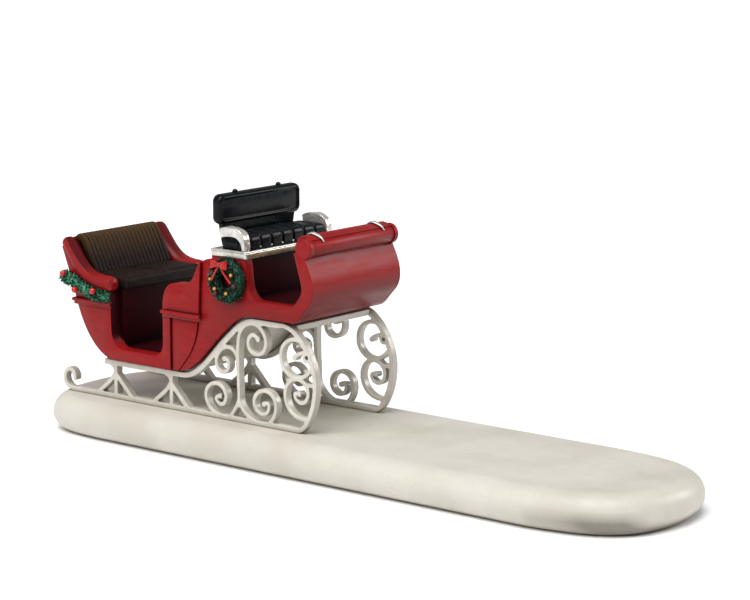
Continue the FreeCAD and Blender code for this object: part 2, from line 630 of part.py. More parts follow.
def make_belts():
    """The moulding round the cabin's rear and one on each side in front."""
    inner = BODY_HALF_WIDTH + SKIN_THICKNESS
    front_line = [(0.0, REAR_CURVE[-1][1]), (0.0, REAR_CURVE[0][1])]
    filled = joined([at_datum(REAR_CURVE), at_datum(front_line)])
    rear = moulding(REAR_BELT_X, REAR_BELT_TOP_Z, inner).cut(slab(filled, -inner, inner))
    front = moulding(FRONT_BELT_X, FRONT_BELT_TOP_Z, inner)
    right = block(FRONT_BELT_X, (-inner - BEAD_PROUD, -inner), (0.0, SEAT_BOX_TOP_Z))
    return rear, front.common(right)


def oval(place, along, half_height, y_low, y_high):
    """Draw an oval round an (x, z) place, square to the direction of travel."""
    half_width = (y_high - y_low) / 2
    wire = Part.Wire(Part.Ellipse(FreeCAD.Vector(0, 0, 0), half_width, half_height).toShape())
    upward = FreeCAD.Vector(-along.z, 0, along.x)
    turn = FreeCAD.Rotation(FreeCAD.Vector(0, 1, 0), upward, along, "ZXY")
    wire.Placement = FreeCAD.Placement(vec(place, (y_low + y_high) / 2), turn)
    return wire


def make_wing(side, skin, rear_shell):
    """The rolled arm that sweeps from the back's corner down to the door."""
    outer, inner = -BODY_HALF_WIDTH - WING_PROUD, SIDE_THICKNESS - BODY_HALF_WIDTH
    places = at_datum([place for place, half in WING_SECTIONS])
    line = spline(places)
    ovals = []
    for place, (_, half_height) in zip(places, WING_SECTIONS):
        along = line.tangent(line.parameter(vec(place, 0.0)))[0]
        ovals.append(oval(place, along, half_height, outer, inner))
    arm = Part.makeLoft(ovals, True)
    return biggest(arm.cut(side).cut(skin).cut(rear_shell))


def make_roll():
    """The dash's roll between the heads of the two sides."""
    end = BODY_HALF_WIDTH - HEAD_LENGTH
    return rod(at_datum([ROLL_CENTRE])[0], ROLL_RADIUS, -end, end)


def make_lining(roll):
    """The lining of the dash where it laps over the roll."""
    half = BODY_HALF_WIDTH - HEAD_LENGTH
    front, rear = LINING_TOP[0], LINING_TOP[-1]
    pieces = [LINING_TOP, [rear, ROLL_CENTRE], [ROLL_CENTRE, front]]
    return slab(joined([at_datum(piece) for piece in pieces]), -half, half).cut(roll)


def make_strap(roll):
    """A bright strap bent over the lining and the roll."""
    middle = -STRAP_SHARE * BODY_HALF_WIDTH
    half = STRAP_WIDTH / 2
    band = strap(at_datum(STRAP_LINE), 0.0, STRAP_THICKNESS, middle - half, middle + half)
    return band.cut(roll)


def tray_top_z():
    """The height of the tray's top from the datum."""
    return SEAT_BOX_TOP_Z + TRAY_HEIGHT


def make_tray():
    """The driver's seat tray, across the whole body."""
    half = BODY_HALF_WIDTH + TRAY_OVERHANG
    tray = block(TRAY_X, (-half, half), (SEAT_BOX_TOP_Z, tray_top_z()))
    return tray.makeFillet(TRAY_ROUND, tray.Edges)


def arm_y():
    """The outer and inner faces of the right-hand arm."""
    outer = ARM_INSET - BODY_HALF_WIDTH
    return outer, outer + ARM_THICKNESS


def make_arm():
    """An arm that arches over its panel and stands on the tray in front."""
    outer, inner = arm_y()
    return slab(joined([at_datum(ARM_TOP), at_datum(ARM_UNDERSIDE[::-1])]), outer, inner)


def make_arm_panel():
    """The dark panel under an arm, set back from its faces."""
    outer, inner = arm_y()
    foot = (ARM_PANEL_REAR_X, tray_top_z())
    outline = joined([at_datum(ARM_UNDERSIDE), at_datum([ARM_UNDERSIDE[-1], foot])])
    return slab(outline, outer + ARM_PANEL_INSET, inner - ARM_PANEL_INSET)


def make_driver_cushion():
    """The driver's seat cushion, between the arms."""
    inner = arm_y()[1] + DRIVER_CUSHION_CLEARANCE
    pad = block(DRIVER_CUSHION_X, (inner, -inner), DRIVER_CUSHION_Z)
    return pad.makeFillet(DRIVER_CUSHION_ROUND, upper_edges(pad))


def upper_edges(shape):
    """Every edge of a shape but those of its underside."""
    floor = shape.BoundBox.ZMin
    return [e for e in shape.Edges if e.BoundBox.ZMax > floor + BEAD_ROUND]


def make_backrest():
    """The driver's backrest, a thick pad with rounded corners."""
    half = BODY_HALF_WIDTH - BACKREST_INSET
    pad = block(BACKREST_X, (-half, half), BACKREST_Z)
    along_x = [e for e in pad.Edges if e.BoundBox.XLength > BACKREST_CORNER]
    pad = pad.makeFillet(BACKREST_CORNER, along_x)
    faces = [e for e in pad.Edges if e.BoundBox.XLength < BACKREST_ROUND]
    return pad.makeFillet(BACKREST_ROUND, faces)


def make_backrest_stays(backrest):
    """Two short stays that hold the backrest over the tray."""
    x = (BACKREST_X[0] + BACKREST_X[1]) / 2 + DATUM_X
    foot = tray_top_z() + PLINTH_HEIGHT
    height = BACKREST_Z[0] + BACKREST_STAY_RADIUS - tray_top_z()
    out = BACKREST_STAY_SHARE * BODY_HALF_WIDTH
    stays = []
    for y in (-out, out):
        stay = Part.makeCylinder(BACKREST_STAY_RADIUS, height, FreeCAD.Vector(x, y, foot))
        stays.append(stay.cut(backrest))
    return Part.makeCompound(stays)


def make_knobs(backrest):
    """The two small knobs on the backrest's top."""
    x = (BACKREST_X[0] + BACKREST_X[1]) / 2 + DATUM_X
    z = BACKREST_Z[1] + PLINTH_HEIGHT
    out = KNOB_SHARE * BODY_HALF_WIDTH
    knobs = [ball((x, z), y, KNOB_RADIUS).cut(backrest) for y in (-out, out)]
    return Part.makeCompound(knobs)


def make_back_pad(rear_shell, bench):
    """The upholstered back of the passengers' seat."""
    half = inner_half() - BACK_PAD_CLEARANCE
    top, foot = BACK_PAD[0], BACK_PAD[-1]
    rear_x = top[0] - BACK_PAD_DEPTH
    pieces = [BACK_PAD, [foot, (rear_x, foot[1])], [(rear_x, foot[1]), (rear_x, top[1])],
              [(rear_x, top[1]), top]]
    pad = slab(joined([at_datum(piece) for piece in pieces]), -half, half)
    return biggest(pad.cut(rear_shell).cut(bench))


def make_bench(rear_shell):
    """The cushion of the passengers' seat."""
    half = inner_half()
    pad = block(BENCH_X, (-half, half), BENCH_Z)
    front = [e for e in pad.Edges if e.BoundBox.XMin > BENCH_X[1] + DATUM_X - BENCH_ROUND]
    across = [e for e in front if e.BoundBox.YLength > BENCH_ROUND]
    return pad.makeFillet(BENCH_ROUND, across).cut(rear_shell)


def make_riser():
    """The panel under the front of the passengers' seat."""
    half = inner_half()
    return block(RISER_X, (-half, half), (FLOORBOARD_TOP_Z, BENCH_Z[0]))


def make_wreath(side):
    """A ring of greenery pressed against the side."""
    centre = vec(at_datum([WREATH_CENTRE])[0], wreath_face_y() + WREATH_TUBE_RADIUS)
    ring = Part.makeTorus(WREATH_MEAN_RADIUS, WREATH_TUBE_RADIUS, centre,
                          FreeCAD.Vector(0, 1, 0))
    return ring.cut(side)


def wreath_face_y():
    """The y of the wreath's outermost line."""
    return WREATH_SUNK - BODY_HALF_WIDTH - 2 * WREATH_TUBE_RADIUS


def make_bow(wreath):
    """Two loops, a knot and two tails on the front of the wreath."""
    x, z = at_datum([BOW_CENTRE])[0]
    y = wreath_face_y() + BOW_KNOT_RADIUS / 2
    loops = []
    for way in (-1, 1):
        loop = Part.makeCone(BOW_KNOT_RADIUS / 2, BOW_LOOP_HEIGHT / 2, BOW_LOOP_LENGTH,
                             FreeCAD.Vector(x, y, z), FreeCAD.Vector(way, 0, 0))
        loops.append(loop)
    knot = Part.makeSphere(BOW_KNOT_RADIUS, FreeCAD.Vector(x, y, z))
    tails = []
    for line in BOW_TAILS:
        start, end = at_datum(line)
        tails.append(strap([start, end], BOW_TAIL_WIDTH / 2, BOW_TAIL_WIDTH / 2,
                           y - BOW_KNOT_RADIUS, y))
    return fused(loops + [knot] + tails).cut(wreath)


def make_berries(spots, wreath, bow):
    """Small balls half sunk in the wreath."""
    y = wreath_face_y() + BERRY_RADIUS / 2
    balls = [ball(spot, y, BERRY_RADIUS).cut(wreath).cut(bow) for spot in at_datum(spots)]
    return Part.makeCompound(balls)


def garland_spot(place, share):
    """A point of the garland's right half, from its (x, z) and its share of the width."""
    widest = BODY_HALF_WIDTH + SKIN_THICKNESS + GARLAND_RADIUS
    return vec(at_datum([place])[0], -share * widest)


def make_garland(others):
    """A rope of greenery from door to door round the rear."""
    right = [garland_spot(place, share) for place, share in zip(GARLAND_LINE, GARLAND_SHARES)]
    left = [FreeCAD.Vector(p.x, -p.y, p.z) for p in right[-2::-1]]
    curve = Part.BSplineCurve()
    curve.interpolate(right + left)
    path = Part.Wire(curve.toShape())
    ring = Part.Wire(Part.makeCircle(GARLAND_RADIUS, right[0], curve.tangent(0)[0]))
    rope = path.makePipeShell([ring], True, False)
    for other in others:
        rope = rope.cut(other)
    return biggest(rope)


def make_garland_berries(garland):
    """Three round berries on each side of the garland."""
    balls = []
    for place, share in zip(GARLAND_BERRIES, GARLAND_BERRY_SHARES):
        berry = Part.makeSphere(GARLAND_BERRY_RADIUS, garland_spot(place, share)).cut(garland)
        balls += [berry, mirrored(berry)]
    return Part.makeCompound(balls)


def save_pair(name, shape):
    """Write a right-hand sub-part and its mirror image."""
    save(name + "_right", shape)
    save(name + "_left", mirrored(shape))


def main():
    """Build every sub-part and write its file."""
    os.makedirs("parts", exist_ok=True)
    save("plinth", make_plinth())

    frame = make_runner_frame()
    save_pair("runner_frame", frame)
    save_pair("runner_struts", make_struts(frame))
    save_pair("runner_scrolls", make_scrolls(frame))
    save("saddle_plate", make_saddle())
    save("crossbar", make_crossbar())

    rear_shell = make_rear_shell()
    bottom = make_bottom(rear_shell)
    boards = make_floorboards(rear_shell, bottom)
    dash = make_dash(bottom)
    side, skin = make_side(dash), make_skin()
    save_pair("body_side", side)
    save_pair("cabin_skin", skin)
    save_pair("lower_panel", make_lower_panel())
    save("rear_shell", rear_shell)
    save("bottom_sheet", bottom)
    save("cabin_floor", boards)
    save("bulkhead", make_bulkhead(bottom, boards))
    save("dash_panel", dash)
    save("footwell_floor", make_footwell_floor(bottom, dash))
    save("seat_box_front", make_seat_front())
    rear_belt, front_belt = make_belts()
    save("rear_belt", rear_belt)
    save_pair("front_belt", front_belt)
    save_pair("wing", make_wing(side, skin, rear_shell))
    roll = make_roll()
    lining = make_lining(roll)
    save("dash_roll", roll)
    save("dash_lining", lining.cut(dash))
    save_pair("roll_strap", make_strap(roll.fuse(lining)))

    save("seat_tray", make_tray())
    save_pair("arm_arch", make_arm())
    save_pair("arm_panel", make_arm_panel())
    save("driver_cushion", make_driver_cushion())
    backrest = make_backrest()
    save("driver_backrest", backrest)
    save("backrest_stays", make_backrest_stays(backrest))
    save("backrest_knobs", make_knobs(backrest))

    bench = make_bench(rear_shell)
    save("bench_cushion", bench)
    save("back_pad", make_back_pad(rear_shell, bench))
    save("bench_riser", make_riser())

    wreath = make_wreath(side)
    bow = make_bow(wreath)
    save_pair("wreath", wreath)
    save_pair("wreath_bow", bow)
    save_pair("gold_berries", make_berries(WREATH_BERRIES, wreath, bow))
    save_pair("cone_berries", make_berries(CONE_BERRIES, wreath, bow))
    garland = make_garland([rear_shell, skin, mirrored(skin), side, mirrored(side)])
    save("garland", garland)
    save("garland_berries", make_garland_berries(garland))


main()
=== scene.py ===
import math
import random

import bmesh
import bpy
from mathutils import Matrix, Vector


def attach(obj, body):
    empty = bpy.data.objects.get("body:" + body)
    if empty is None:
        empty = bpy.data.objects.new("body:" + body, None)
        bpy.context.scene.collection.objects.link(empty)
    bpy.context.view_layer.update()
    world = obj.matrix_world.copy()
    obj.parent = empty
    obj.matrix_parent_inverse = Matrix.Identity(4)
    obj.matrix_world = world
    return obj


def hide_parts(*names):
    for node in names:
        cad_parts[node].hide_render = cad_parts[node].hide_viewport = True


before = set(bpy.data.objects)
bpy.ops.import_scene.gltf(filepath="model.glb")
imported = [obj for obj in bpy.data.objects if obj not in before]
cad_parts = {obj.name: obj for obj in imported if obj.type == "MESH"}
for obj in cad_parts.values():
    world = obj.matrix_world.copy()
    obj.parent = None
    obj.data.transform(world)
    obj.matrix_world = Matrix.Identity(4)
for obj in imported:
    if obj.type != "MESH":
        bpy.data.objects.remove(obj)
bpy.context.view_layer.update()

# The scene is in metres. Lengths here are in millimetres, turned by MM, and a place
# (x, z) is measured from the datum, the front end of a runner's sole on the plinth's
# top, as in the part's source. The places with PART in their names are measured from
# the part's own origin instead, as the materials read them.
MM = 0.001
DATUM_X, DATUM_Z = -8.2, 12.0

# The camera, as solved from the photograph, which is 750 by 600 pixels.
PHOTO_SIZE = (750, 600)
CAMERA_AZIMUTH = math.radians(39.0)
CAMERA_ELEVATION = math.radians(10.4)
FOCAL_PIXELS = 2600.0
AIM_POINT = Vector((DATUM_X, -19.4, DATUM_Z)) * MM
AIM_PIXEL = (299.7, 434.0)
AIM_DEPTH = 775.0 * MM
SENSOR_WIDTH = 36.0
CLIP_START, CLIP_END = 0.01, 50.0

# The floor and the lights, in metres. A soft box is a place, a width and a power.
FLOOR_HALF = 6.0
SKY_STRENGTH = 0.28
SUN_PLACE, SUN_POWER, SUN_ANGLE = (0.2, -0.8, 1.55), 3.1, math.radians(50.0)
SOFTBOXES = {"key": ((-0.35, -0.95, 0.55), 0.5, 1.6), "rim": ((0.60, 0.75, 0.44), 0.4, 3.6)}
SOFTBOX_AIM = (-0.05, 0.0, 0.045)

BODY = "root"
SIDES = {"right": -1.0, "left": 1.0}

# Wings: each ring is an (x, z) place, half its height and half its width. Two beads
# run along the outer side, at angles in degrees from outward, with a hollow between.
WING_RINGS = [(-96.0, 49.75, 0.15, 0.4), (-95.85, 49.6, 0.9, 1.7), (-95.4, 49.1, 1.4, 2.45),
              (-94.5, 48.0, 1.6, 2.75), (-93.1, 46.2, 1.65, 2.75), (-91.4, 43.9, 1.8, 2.7),
              (-89.6, 41.6, 2.0, 2.7), (-87.2, 39.5, 2.1, 2.7), (-84.2, 38.0, 2.2, 2.75),
              (-80.2, 37.1, 2.4, 2.8), (-77.6, 36.9, 2.5, 2.8), (-76.2, 36.85, 2.3, 2.6),
              (-75.5, 36.8, 1.8, 2.1), (-75.1, 36.8, 1.05, 1.3), (-75.0, 36.8, 0.15, 0.2)]
WING_Y = 20.4
WING_STEPS, WING_COUNT = 8, 72
WING_BEADS, WING_BEAD_SPREAD, WING_BEAD_HEIGHT = (-48.0, 42.0), 9.0, 0.3
WING_HOLLOW_SPREAD, WING_HOLLOW_DEPTH = 28.125, 0.4
# A ring at least this high, by half, has its beads and hollow in full.
WING_FULL_HALF_HEIGHT = 1.9

# How far the ends of a pad are drawn in between its corners.
END_PULL = 0.2

# Driver's cushion.
CUSHION_MIDDLE, CUSHION_FLOOR, CUSHION_HALF = -26.0, 52.7, (5.4, 17.6)
CUSHION_HEIGHT, CUSHION_CORNER, CUSHION_COUNTS = 4.6, 1.2, (44, 150)
CUSHION_ROUND, CUSHION_FOOT_ROUND, CUSHION_CROWN = 1.7, 0.9, 0.55
CUSHION_CHANNELS, CUSHION_SEAM, CUSHION_SEAM_SHARE = 7, 0.32, 0.22
CUSHION_WAIST, CUSHION_SEAM_WAIST, CUSHION_WAIST_POWER = 0.25, 0.45, 5
STUD_RADIUS, STUD_INSET, STUD_RISE = 0.33, 0.45, 0.9

# Driver's backrest, with a panel sunk inside its piping, and the web below it.
BACKREST_X, BACKREST_Z, BACKREST_HALF = -33.5, 64.25, (18.9, 4.65)
BACKREST_CORNER, BACKREST_THICKNESS, BACKREST_COUNTS = 2.6, 3.4, (130, 60)
BACKREST_ROUND, BACKREST_REAR_CROWN = 0.9, 0.2
PIPING_INSET, PIPING_SPREAD, PIPING_HEIGHT = 1.05, 0.32, 0.22
PANEL_INSET, PANEL_SLOPE, PANEL_DEPTH, PANEL_CROWN = 1.35, 0.4, 0.6, 0.75
WEB_HALF_WIDTH, WEB_TOP, WEB_THICKNESS, WEB_TAPER = 17.0, 60.8, 2.3, 0.11
WEB_CORNER, WEB_ROUND, WEB_COUNTS = 0.5, 0.7, (80, 28)

# Driver's tray and arms, with a field on the panel below each arm.
TRAY_REAR, TRAY_FRONT, TRAY_HALF, TRAY_TOP = -33.0, -19.7, 20.85, 52.7
LIP_HALF_WIDTH, LIP_HALF_HEIGHT = 0.42, 0.38
LIP_SHARES, LIP_STEPS = (0.02, 0.25, 0.5, 0.75, 0.98), 4
BAND_X, BAND_Z, BAND_Y = -19.28, 51.7, (-20.4, -20.0, 0.0, 20.0, 20.4)
BAND_HALF_HEIGHTS = [0.3, 0.62, 0.62, 0.62, 0.3]
BAND_HALF_DEPTHS = [0.1, 0.2, 0.2, 0.2, 0.1]
ARM_VOXEL, ARM_SMOOTHING, ARM_DENT, DENT_SIZE = 0.13, 8, 0.4, 2.4
FIELD_MIDDLE, FIELD_HALF, FIELD_Y = (-26.2, 54.4), (2.6, 1.05), 19.95
FIELD_CORNER, FIELD_COUNTS = 0.3, (26, 16)
FIELD_HEIGHT, FIELD_ROUND, FIELD_ROOT = 0.28, 0.3, 0.1
FIELD_SINK, FIELD_SINK_INSET, FIELD_SINK_SLOPE = 0.16, 0.35, 0.2

# Passengers' cushion.
BENCH_MIDDLE, BENCH_HALF, BENCH_Z, BENCH_THICKNESS = -81.75, (9.1, 17.4), 37.05, 3.7
BENCH_CORNER, BENCH_COUNTS = 1.0, (40, 90)
BENCH_ROUND, BENCH_FOOT_ROUND, BENCH_CROWN = 1.3, 0.8, 0.5
BENCH_SEAM, BENCH_SEAM_DEPTH = 0.5, 0.35
BENCH_WELT_INSET, BENCH_WELT, BENCH_WELT_DEPTH = 0.9, 0.25, 0.15
BENCH_FRONT_PULL, BENCH_FRONT_POWER = 0.3, 7

# Passengers' back, along a line over its top and down its front.
BACK_LINE = [(-95.6, 48.9), (-95.0, 49.9), (-93.6, 50.35), (-92.1, 49.5), (-89.5, 44.6), (-86.5, 38.6)]
BACK_HALF, BACK_THICKNESS, BACK_CORNER = 17.1, 2.4, 1.0
BACK_COUNTS, BACK_ROUND, BACK_REAR_ROUND = (240, 40), 1.0, 1.2
BACK_CHANNELS, BACK_SEAM, BACK_SEAM_SHARE = 20, 0.24, 0.9
BACK_SWELL, BACK_END_PULL = 0.55, 0.15

# Straps over the dash roll.
SPUR_LINE = [(-1.3, 59.2), (-0.1, 59.75), (1.2, 60.05), (2.8, 59.65), (4.3, 58.95), (5.3, 57.9)]
SPUR_HALF_WIDTHS = [0.35, 0.95, 1.0, 0.75, 0.4, 0.22]
SPUR_HALF_HEIGHTS = [0.2, 0.35, 0.38, 0.35, 0.3, 0.2]
SPUR_Y, SPUR_STEPS = 14.14, 6

# Greenery. Needles have a number, a range of lengths and a width, and no tip comes
# further inward than the clear places.
NEEDLE_LEAN, NEEDLE_STRAY, NEEDLE_ROOT_SHARE = 0.75, 0.22, 0.85
WREATH_MIDDLE, WREATH_Y, WREATH_MEAN, WREATH_CORE = (-26.0, 44.0), 22.4, 4.8, 1.7
WREATH_NEEDLES = 1700, (0.9, 1.5), 0.21
WREATH_COUNT, WREATH_CLEAR_Y, WREATH_SEEDS = 40, 21.0, {"right": 11, "left": 12}
GARLAND_LINE = [(-75.8, 22.7, 33.2), (-78.8, 23.2, 33.3), (-82.0, 23.4, 33.8), (-87.0, 23.5, 35.6),
                (-91.6, 23.4, 37.2), (-95.6, 21.6, 37.5), (-97.2, 17.0, 36.6),
                (-96.4, 9.0, 34.7), (-95.6, 0.0, 33.9)]
GARLAND_CORES = [1.2, 1.35, 1.35, 1.3, 1.4, 1.6, 1.3, 1.2, 1.2]
GARLAND_NEEDLES = 2100, (0.9, 1.7), 0.28
GARLAND_STEPS, GARLAND_END_SHARE, GARLAND_SEED = 8, 0.4, 21
GARLAND_CLEAR_Y, GARLAND_CLEAR_X = 21.9, -93.5
HOLLY = [(-80.4, 25.0, 34.9), (-88.2, 25.2, 34.6), (-94.1, 24.4, 39.0)]
HOLLY_RADIUS = 1.05
GOLD = [(-22.4, 24.5, 46.2), (-31.0, 24.3, 44.2), (-29.1, 24.5, 41.4), (-24.5, 24.5, 40.4)]
GOLD_RADIUS = 0.55
CONES = [(-21.4, 24.3, 42.9), (-28.8, 24.4, 40.1), (-30.0, 24.2, 46.4)]
CONE_RADIUS, CONE_LOBES, LOBE_SHARE = 0.72, 5, 0.16
FINE_COUNT = 20

# Bow of a wreath: its knot and, from the knot, loops and tails as (x, outward, z).
BOW_KNOT, BOW_KNOT_RADIUS, BOW_KNOT_RISE = (-26.8, 24.9, 49.0), 0.75, 0.15
BOW_LOOP = [(0.2, 0.1, 0.0), (1.3, 0.75, 0.12), (2.5, 0.85, 0.1), (3.15, 0.2, 0.0),
            (2.5, -0.4, -0.05), (1.3, -0.3, 0.0)]
BOW_LOOP_HALF_WIDTHS = [0.5, 0.95, 1.25, 1.3, 1.2, 0.9]
BOW_TAILS = [[(-0.2, 0.0, -0.2), (-1.0, 0.25, -1.7), (-2.2, 0.1, -3.4), (-3.2, -0.05, -4.9)],
             [(0.3, 0.0, -0.2), (1.5, 0.25, -1.8), (3.0, 0.15, -3.6), (4.3, -0.2, -5.3)]]
TAIL_HALF_WIDTHS, TAIL_SLANT = [0.28, 0.34, 0.38, 0.42], 0.6
RIBBON_HALF_THICKNESS, RIBBON_STEPS = 0.17, 6

# Runners: the voxel of the joined casting, and the rounds of smoothing after it.
CAST_VOXEL, CAST_SMOOTHING = 0.22, 3
# The paint thickens the bar between the runners.
BAR_VOXEL, BAR_SMOOTHING, BAR_SWELL = 0.12, 3, 0.25

# Working on the CAD nodes: the rounding of sharp edges and the angles that tell them.
WELD_REACH = 0.002
SHARP_ANGLE, FLAT_ANGLE = math.radians(40.0), math.radians(0.5)
BODY_ROUND, ROLL_ROUND, TRAY_ROUND, PLATE_ROUND, TRIM_ROUND = 0.2, 0.18, 0.2, 0.1, 0.12

# Colours, as linear red, green and blue.
# Body reds: the red, a lighter red, and painted shade for the recesses.
RED, RED_LIGHT, RED_RECESS_SHADE = (0.222, 0.0046, 0.0054), (0.280, 0.0070, 0.0078), (0.020, 0.001, 0.002)
# Painted shade on the body's red: on a wing's inner side and on the door's forward faces.
RED_WING_SHADE, RED_DOOR_SHADE = (0.070, 0.0025, 0.0040), (0.030, 0.0015, 0.003)
# Painted shade under the dash and low on the body, and a painted shadow behind each wreath.
RED_BELLY_SHADE, RED_LOW_SHADE, RED_WREATH_SHADOW = (0.115, 0.0105, 0.0110), (0.105, 0.0025, 0.0030), (0.012, 0.004, 0.003)
# Silver, a lighter silver, and painted shade for faces that look forward.
SILVER, SILVER_LIGHT, SILVER_AHEAD_SHADE = (0.56, 0.520, 0.455), (0.64, 0.608, 0.545), (0.30, 0.285, 0.255)
# Painted shade for the scrolls' deep sides, then tarnish and rust for a few corners.
SILVER_WALL_SHADE, TARNISH, RUST = (0.155, 0.150, 0.138), (0.24, 0.20, 0.15), (0.36, 0.17, 0.05)
# Bright silver, a lighter one, and painted shade for its grooves.
BRIGHT, BRIGHT_LIGHT, BRIGHT_RECESS_SHADE = (0.56, 0.54, 0.495), (0.74, 0.72, 0.68), (0.13, 0.10, 0.07)
# Brown, a lighter brown, and painted shade for the seams.
BROWN, BROWN_LIGHT, BROWN_RECESS_SHADE = (0.008, 0.0036, 0.0028), (0.017, 0.0078, 0.005), (0.003, 0.0015, 0.001)
BROWN_GOLD = (0.085, 0.044, 0.013)
# Cream, a lighter cream, and painted shade for the grooves.
CREAM, CREAM_LIGHT, CREAM_RECESS_SHADE = (0.52, 0.49, 0.425), (0.60, 0.575, 0.515), (0.33, 0.27, 0.19)
# Specks, and painted shade for the underside of the front end.
CREAM_SPECK, CREAM_FRONT_SHADE = (0.46, 0.42, 0.34), (0.12, 0.105, 0.08)

# Where a colour sets in and where it is full.
WING_DARK_PART_X, DOOR_PART_X, BELLY_PART_X = (-88.0, -95.0), (-76.2, -80.2), (-22.0, -14.0)
LOW_PART_X, LOW_PART_Z, BACK_GOLD_PART_Z = (-46.0, -30.0), (58.0, 44.0), (54.0, 62.6)
# How far from a wreath's middle its painted shadow reaches, and where it is full.
WREATH_SHADOW_REACH = (5.5, 3.2)
CLOUD_RANGE, WEAR_RANGE = (0.35, 0.65), (0.3, 0.7)
FROSTED = (0.970, 0.971)
RECESS_SAMPLES = 8
# The sockets of a mix node that are colours.
FIRST_COLOUR, SECOND_COLOUR, MIXED_COLOUR = 6, 7, 2


def at(x, y, z):
    """The scene's place of (x, y, z) from the datum."""
    return Vector((x + DATUM_X, y, z + DATUM_Z)) * MM


def add_object(name, data):
    """A new object in the scene."""
    thing = bpy.data.objects.new(name, data)
    bpy.context.scene.collection.objects.link(thing)
    return thing


# Materials.


class Shader:
    """A material built node by node round one Principled shader."""

    def __init__(self, name):
        self.material = bpy.data.materials.new(name)
        self.material.use_nodes = True
        tree = self.material.node_tree
        self.nodes, self.links = tree.nodes, tree.links
        self.nodes.clear()
        output = self.nodes.new("ShaderNodeOutputMaterial")
        self.bsdf = self.nodes.new("ShaderNodeBsdfPrincipled")
        self.links.new(self.bsdf.outputs["BSDF"], output.inputs["Surface"])
        coordinates = self.add("TexCoord", {})
        self.place, self.facing = coordinates["Object"], coordinates["Normal"]

    def wire(self, value, socket):
        """Link an output to a socket, or set the socket to a constant."""
        if isinstance(value, bpy.types.NodeSocket):
            self.links.new(value, socket)
        elif socket.type == "RGBA":
            socket.default_value = (*value, 1.0)
        else:
            socket.default_value = value

    def add(self, kind, values, **settings):
        """Add a node, set it, give its sockets their values and return its outputs."""
        node = self.nodes.new("ShaderNode" + kind)
        for name, setting in settings.items():
            setattr(node, name, setting)
        for name, value in values.items():
            self.wire(value, node.inputs[name])
        return node.outputs

    def stretched(self, factors):
        """The object's coordinates, each times a factor."""
        return self.add("Mapping", {"Vector": self.place, "Scale": factors})["Vector"]

    def noise(self, size, detail=3.0, place=None):
        """Noise whose blobs are about as many millimetres across as the size."""
        values = {"Vector": place or self.place, "Scale": 1.0 / (size * MM), "Detail": detail}
        return self.add("TexNoise", values)["Fac"]

    def remap(self, value, low, high, to_low=0.0, to_high=1.0):
        """Stretch a value from one range to another and clamp it."""
        values = {"Value": value, "From Min": low, "From Max": high, "To Min": to_low, "To Max": to_high}
        return self.add("MapRange", values)["Result"]

    def clouds(self, size, detail=4.0):
        """Noise that reaches from 0 to 1."""
        return self.remap(self.noise(size, detail), *CLOUD_RANGE)

    def worn(self, size, low, high):
        """A roughness that wanders between two values."""
        return self.remap(self.noise(size), *WEAR_RANGE, low, high)

    def mix(self, share, first, second):
        """Mix two colours."""
        values = {"Factor": share, FIRST_COLOUR: first, SECOND_COLOUR: second}
        return self.add("Mix", values, data_type="RGBA")[MIXED_COLOUR]

    def times(self, first, second):
        """Multiply two values."""
        return self.add("Math", {0: first, 1: second}, operation="MULTIPLY")["Value"]

    def over(self, paint, colour, share, most):
        """Lay a colour over the paint, as far as the share says and up to the most."""
        return self.mix(self.times(share, most), paint, colour)

    def along(self, vector, axis, low, high):
        """From 0 where a vector's coordinate is low to 1 where it is high."""
        return self.remap(self.add("SeparateXYZ", {"Vector": vector})[axis], low, high)

    def faces(self, axis, low, high):
        """From 0 to 1 as the facing's coordinate goes from low to high."""
        return self.along(self.facing, axis, low, high)

    def lies(self, axis, places):
        """From 0 at one place of the part to 1 at another."""
        return self.along(self.place, axis, *(place * MM for place in places))

    def near(self, x, z, far, close):
        """From 0 beyond one distance of a line across the sleigh to 1 within another."""
        places = {0: self.stretched((1.0, 0.0, 1.0)), 1: at(x, 0.0, z)}
        distance = self.add("VectorMath", places, operation="DISTANCE")["Value"]
        return self.remap(distance, far * MM, close * MM)

    def toward(self, direction, low, high):
        """From 0 to 1 as the surface turns toward a direction."""
        ways = {0: self.facing, 1: direction}
        turn = self.add("VectorMath", ways, operation="DOT_PRODUCT")["Value"]
        return self.remap(turn, low, high)

    def recess(self, reach, open_at=0.9, full_at=0.45):
        """From 0 in the open to 1 in corners and grooves."""
        light = self.add("AmbientOcclusion", {"Distance": reach * MM}, samples=RECESS_SAMPLES)
        return self.remap(light["AO"], open_at, full_at)

    def bump(self, height, depth, strength=0.5, below=None):
        """A bump as many millimetres deep as the depth, on the bump below it."""
        values = {"Strength": strength, "Distance": depth * MM, "Height": height}
        if below is not None:
            values["Normal"] = below
        return self.add("Bump", values)["Normal"]

    def finish(self, colour, roughness, normal=None, **constants):
        """Set the shader's sockets and return the material."""
        self.wire(colour, self.bsdf.inputs["Base Color"])
        self.wire(roughness, self.bsdf.inputs["Roughness"])
        if normal is not None:
            self.links.new(normal, self.bsdf.inputs["Normal"])
        for name, value in constants.items():
            self.bsdf.inputs[name.replace("_", " ")].default_value = value
        return self.material


def painted(name, base, recess_shade, gloss, reach=1.3, recess_shade_share=0.85, mottle=0.06, grain=0.012, **constants):
    """Hand-painted resin: mottled paint, painted shade in the recesses, a fine grain."""
    shader = Shader(name)
    darker = tuple(c * (1.0 - 2.0 * mottle) for c in base)
    lighter = tuple(min(1.0, c * (1.0 + mottle)) for c in base)
    paint = shader.mix(shader.clouds(5.0), darker, lighter)
    # Painted shade: the recesses are darkened toward the second colour passed in.
    colour = shader.over(paint, recess_shade, shader.recess(reach), recess_shade_share)
    roughness = shader.worn(2.5, gloss - 0.05, gloss + 0.07)
    coarse = shader.bump(shader.noise(1.6, detail=2.0), grain * 3.0)
    fine = shader.bump(shader.noise(0.35, detail=2.0), grain, below=coarse)
    return shader.finish(colour, roughness, fine, **constants)


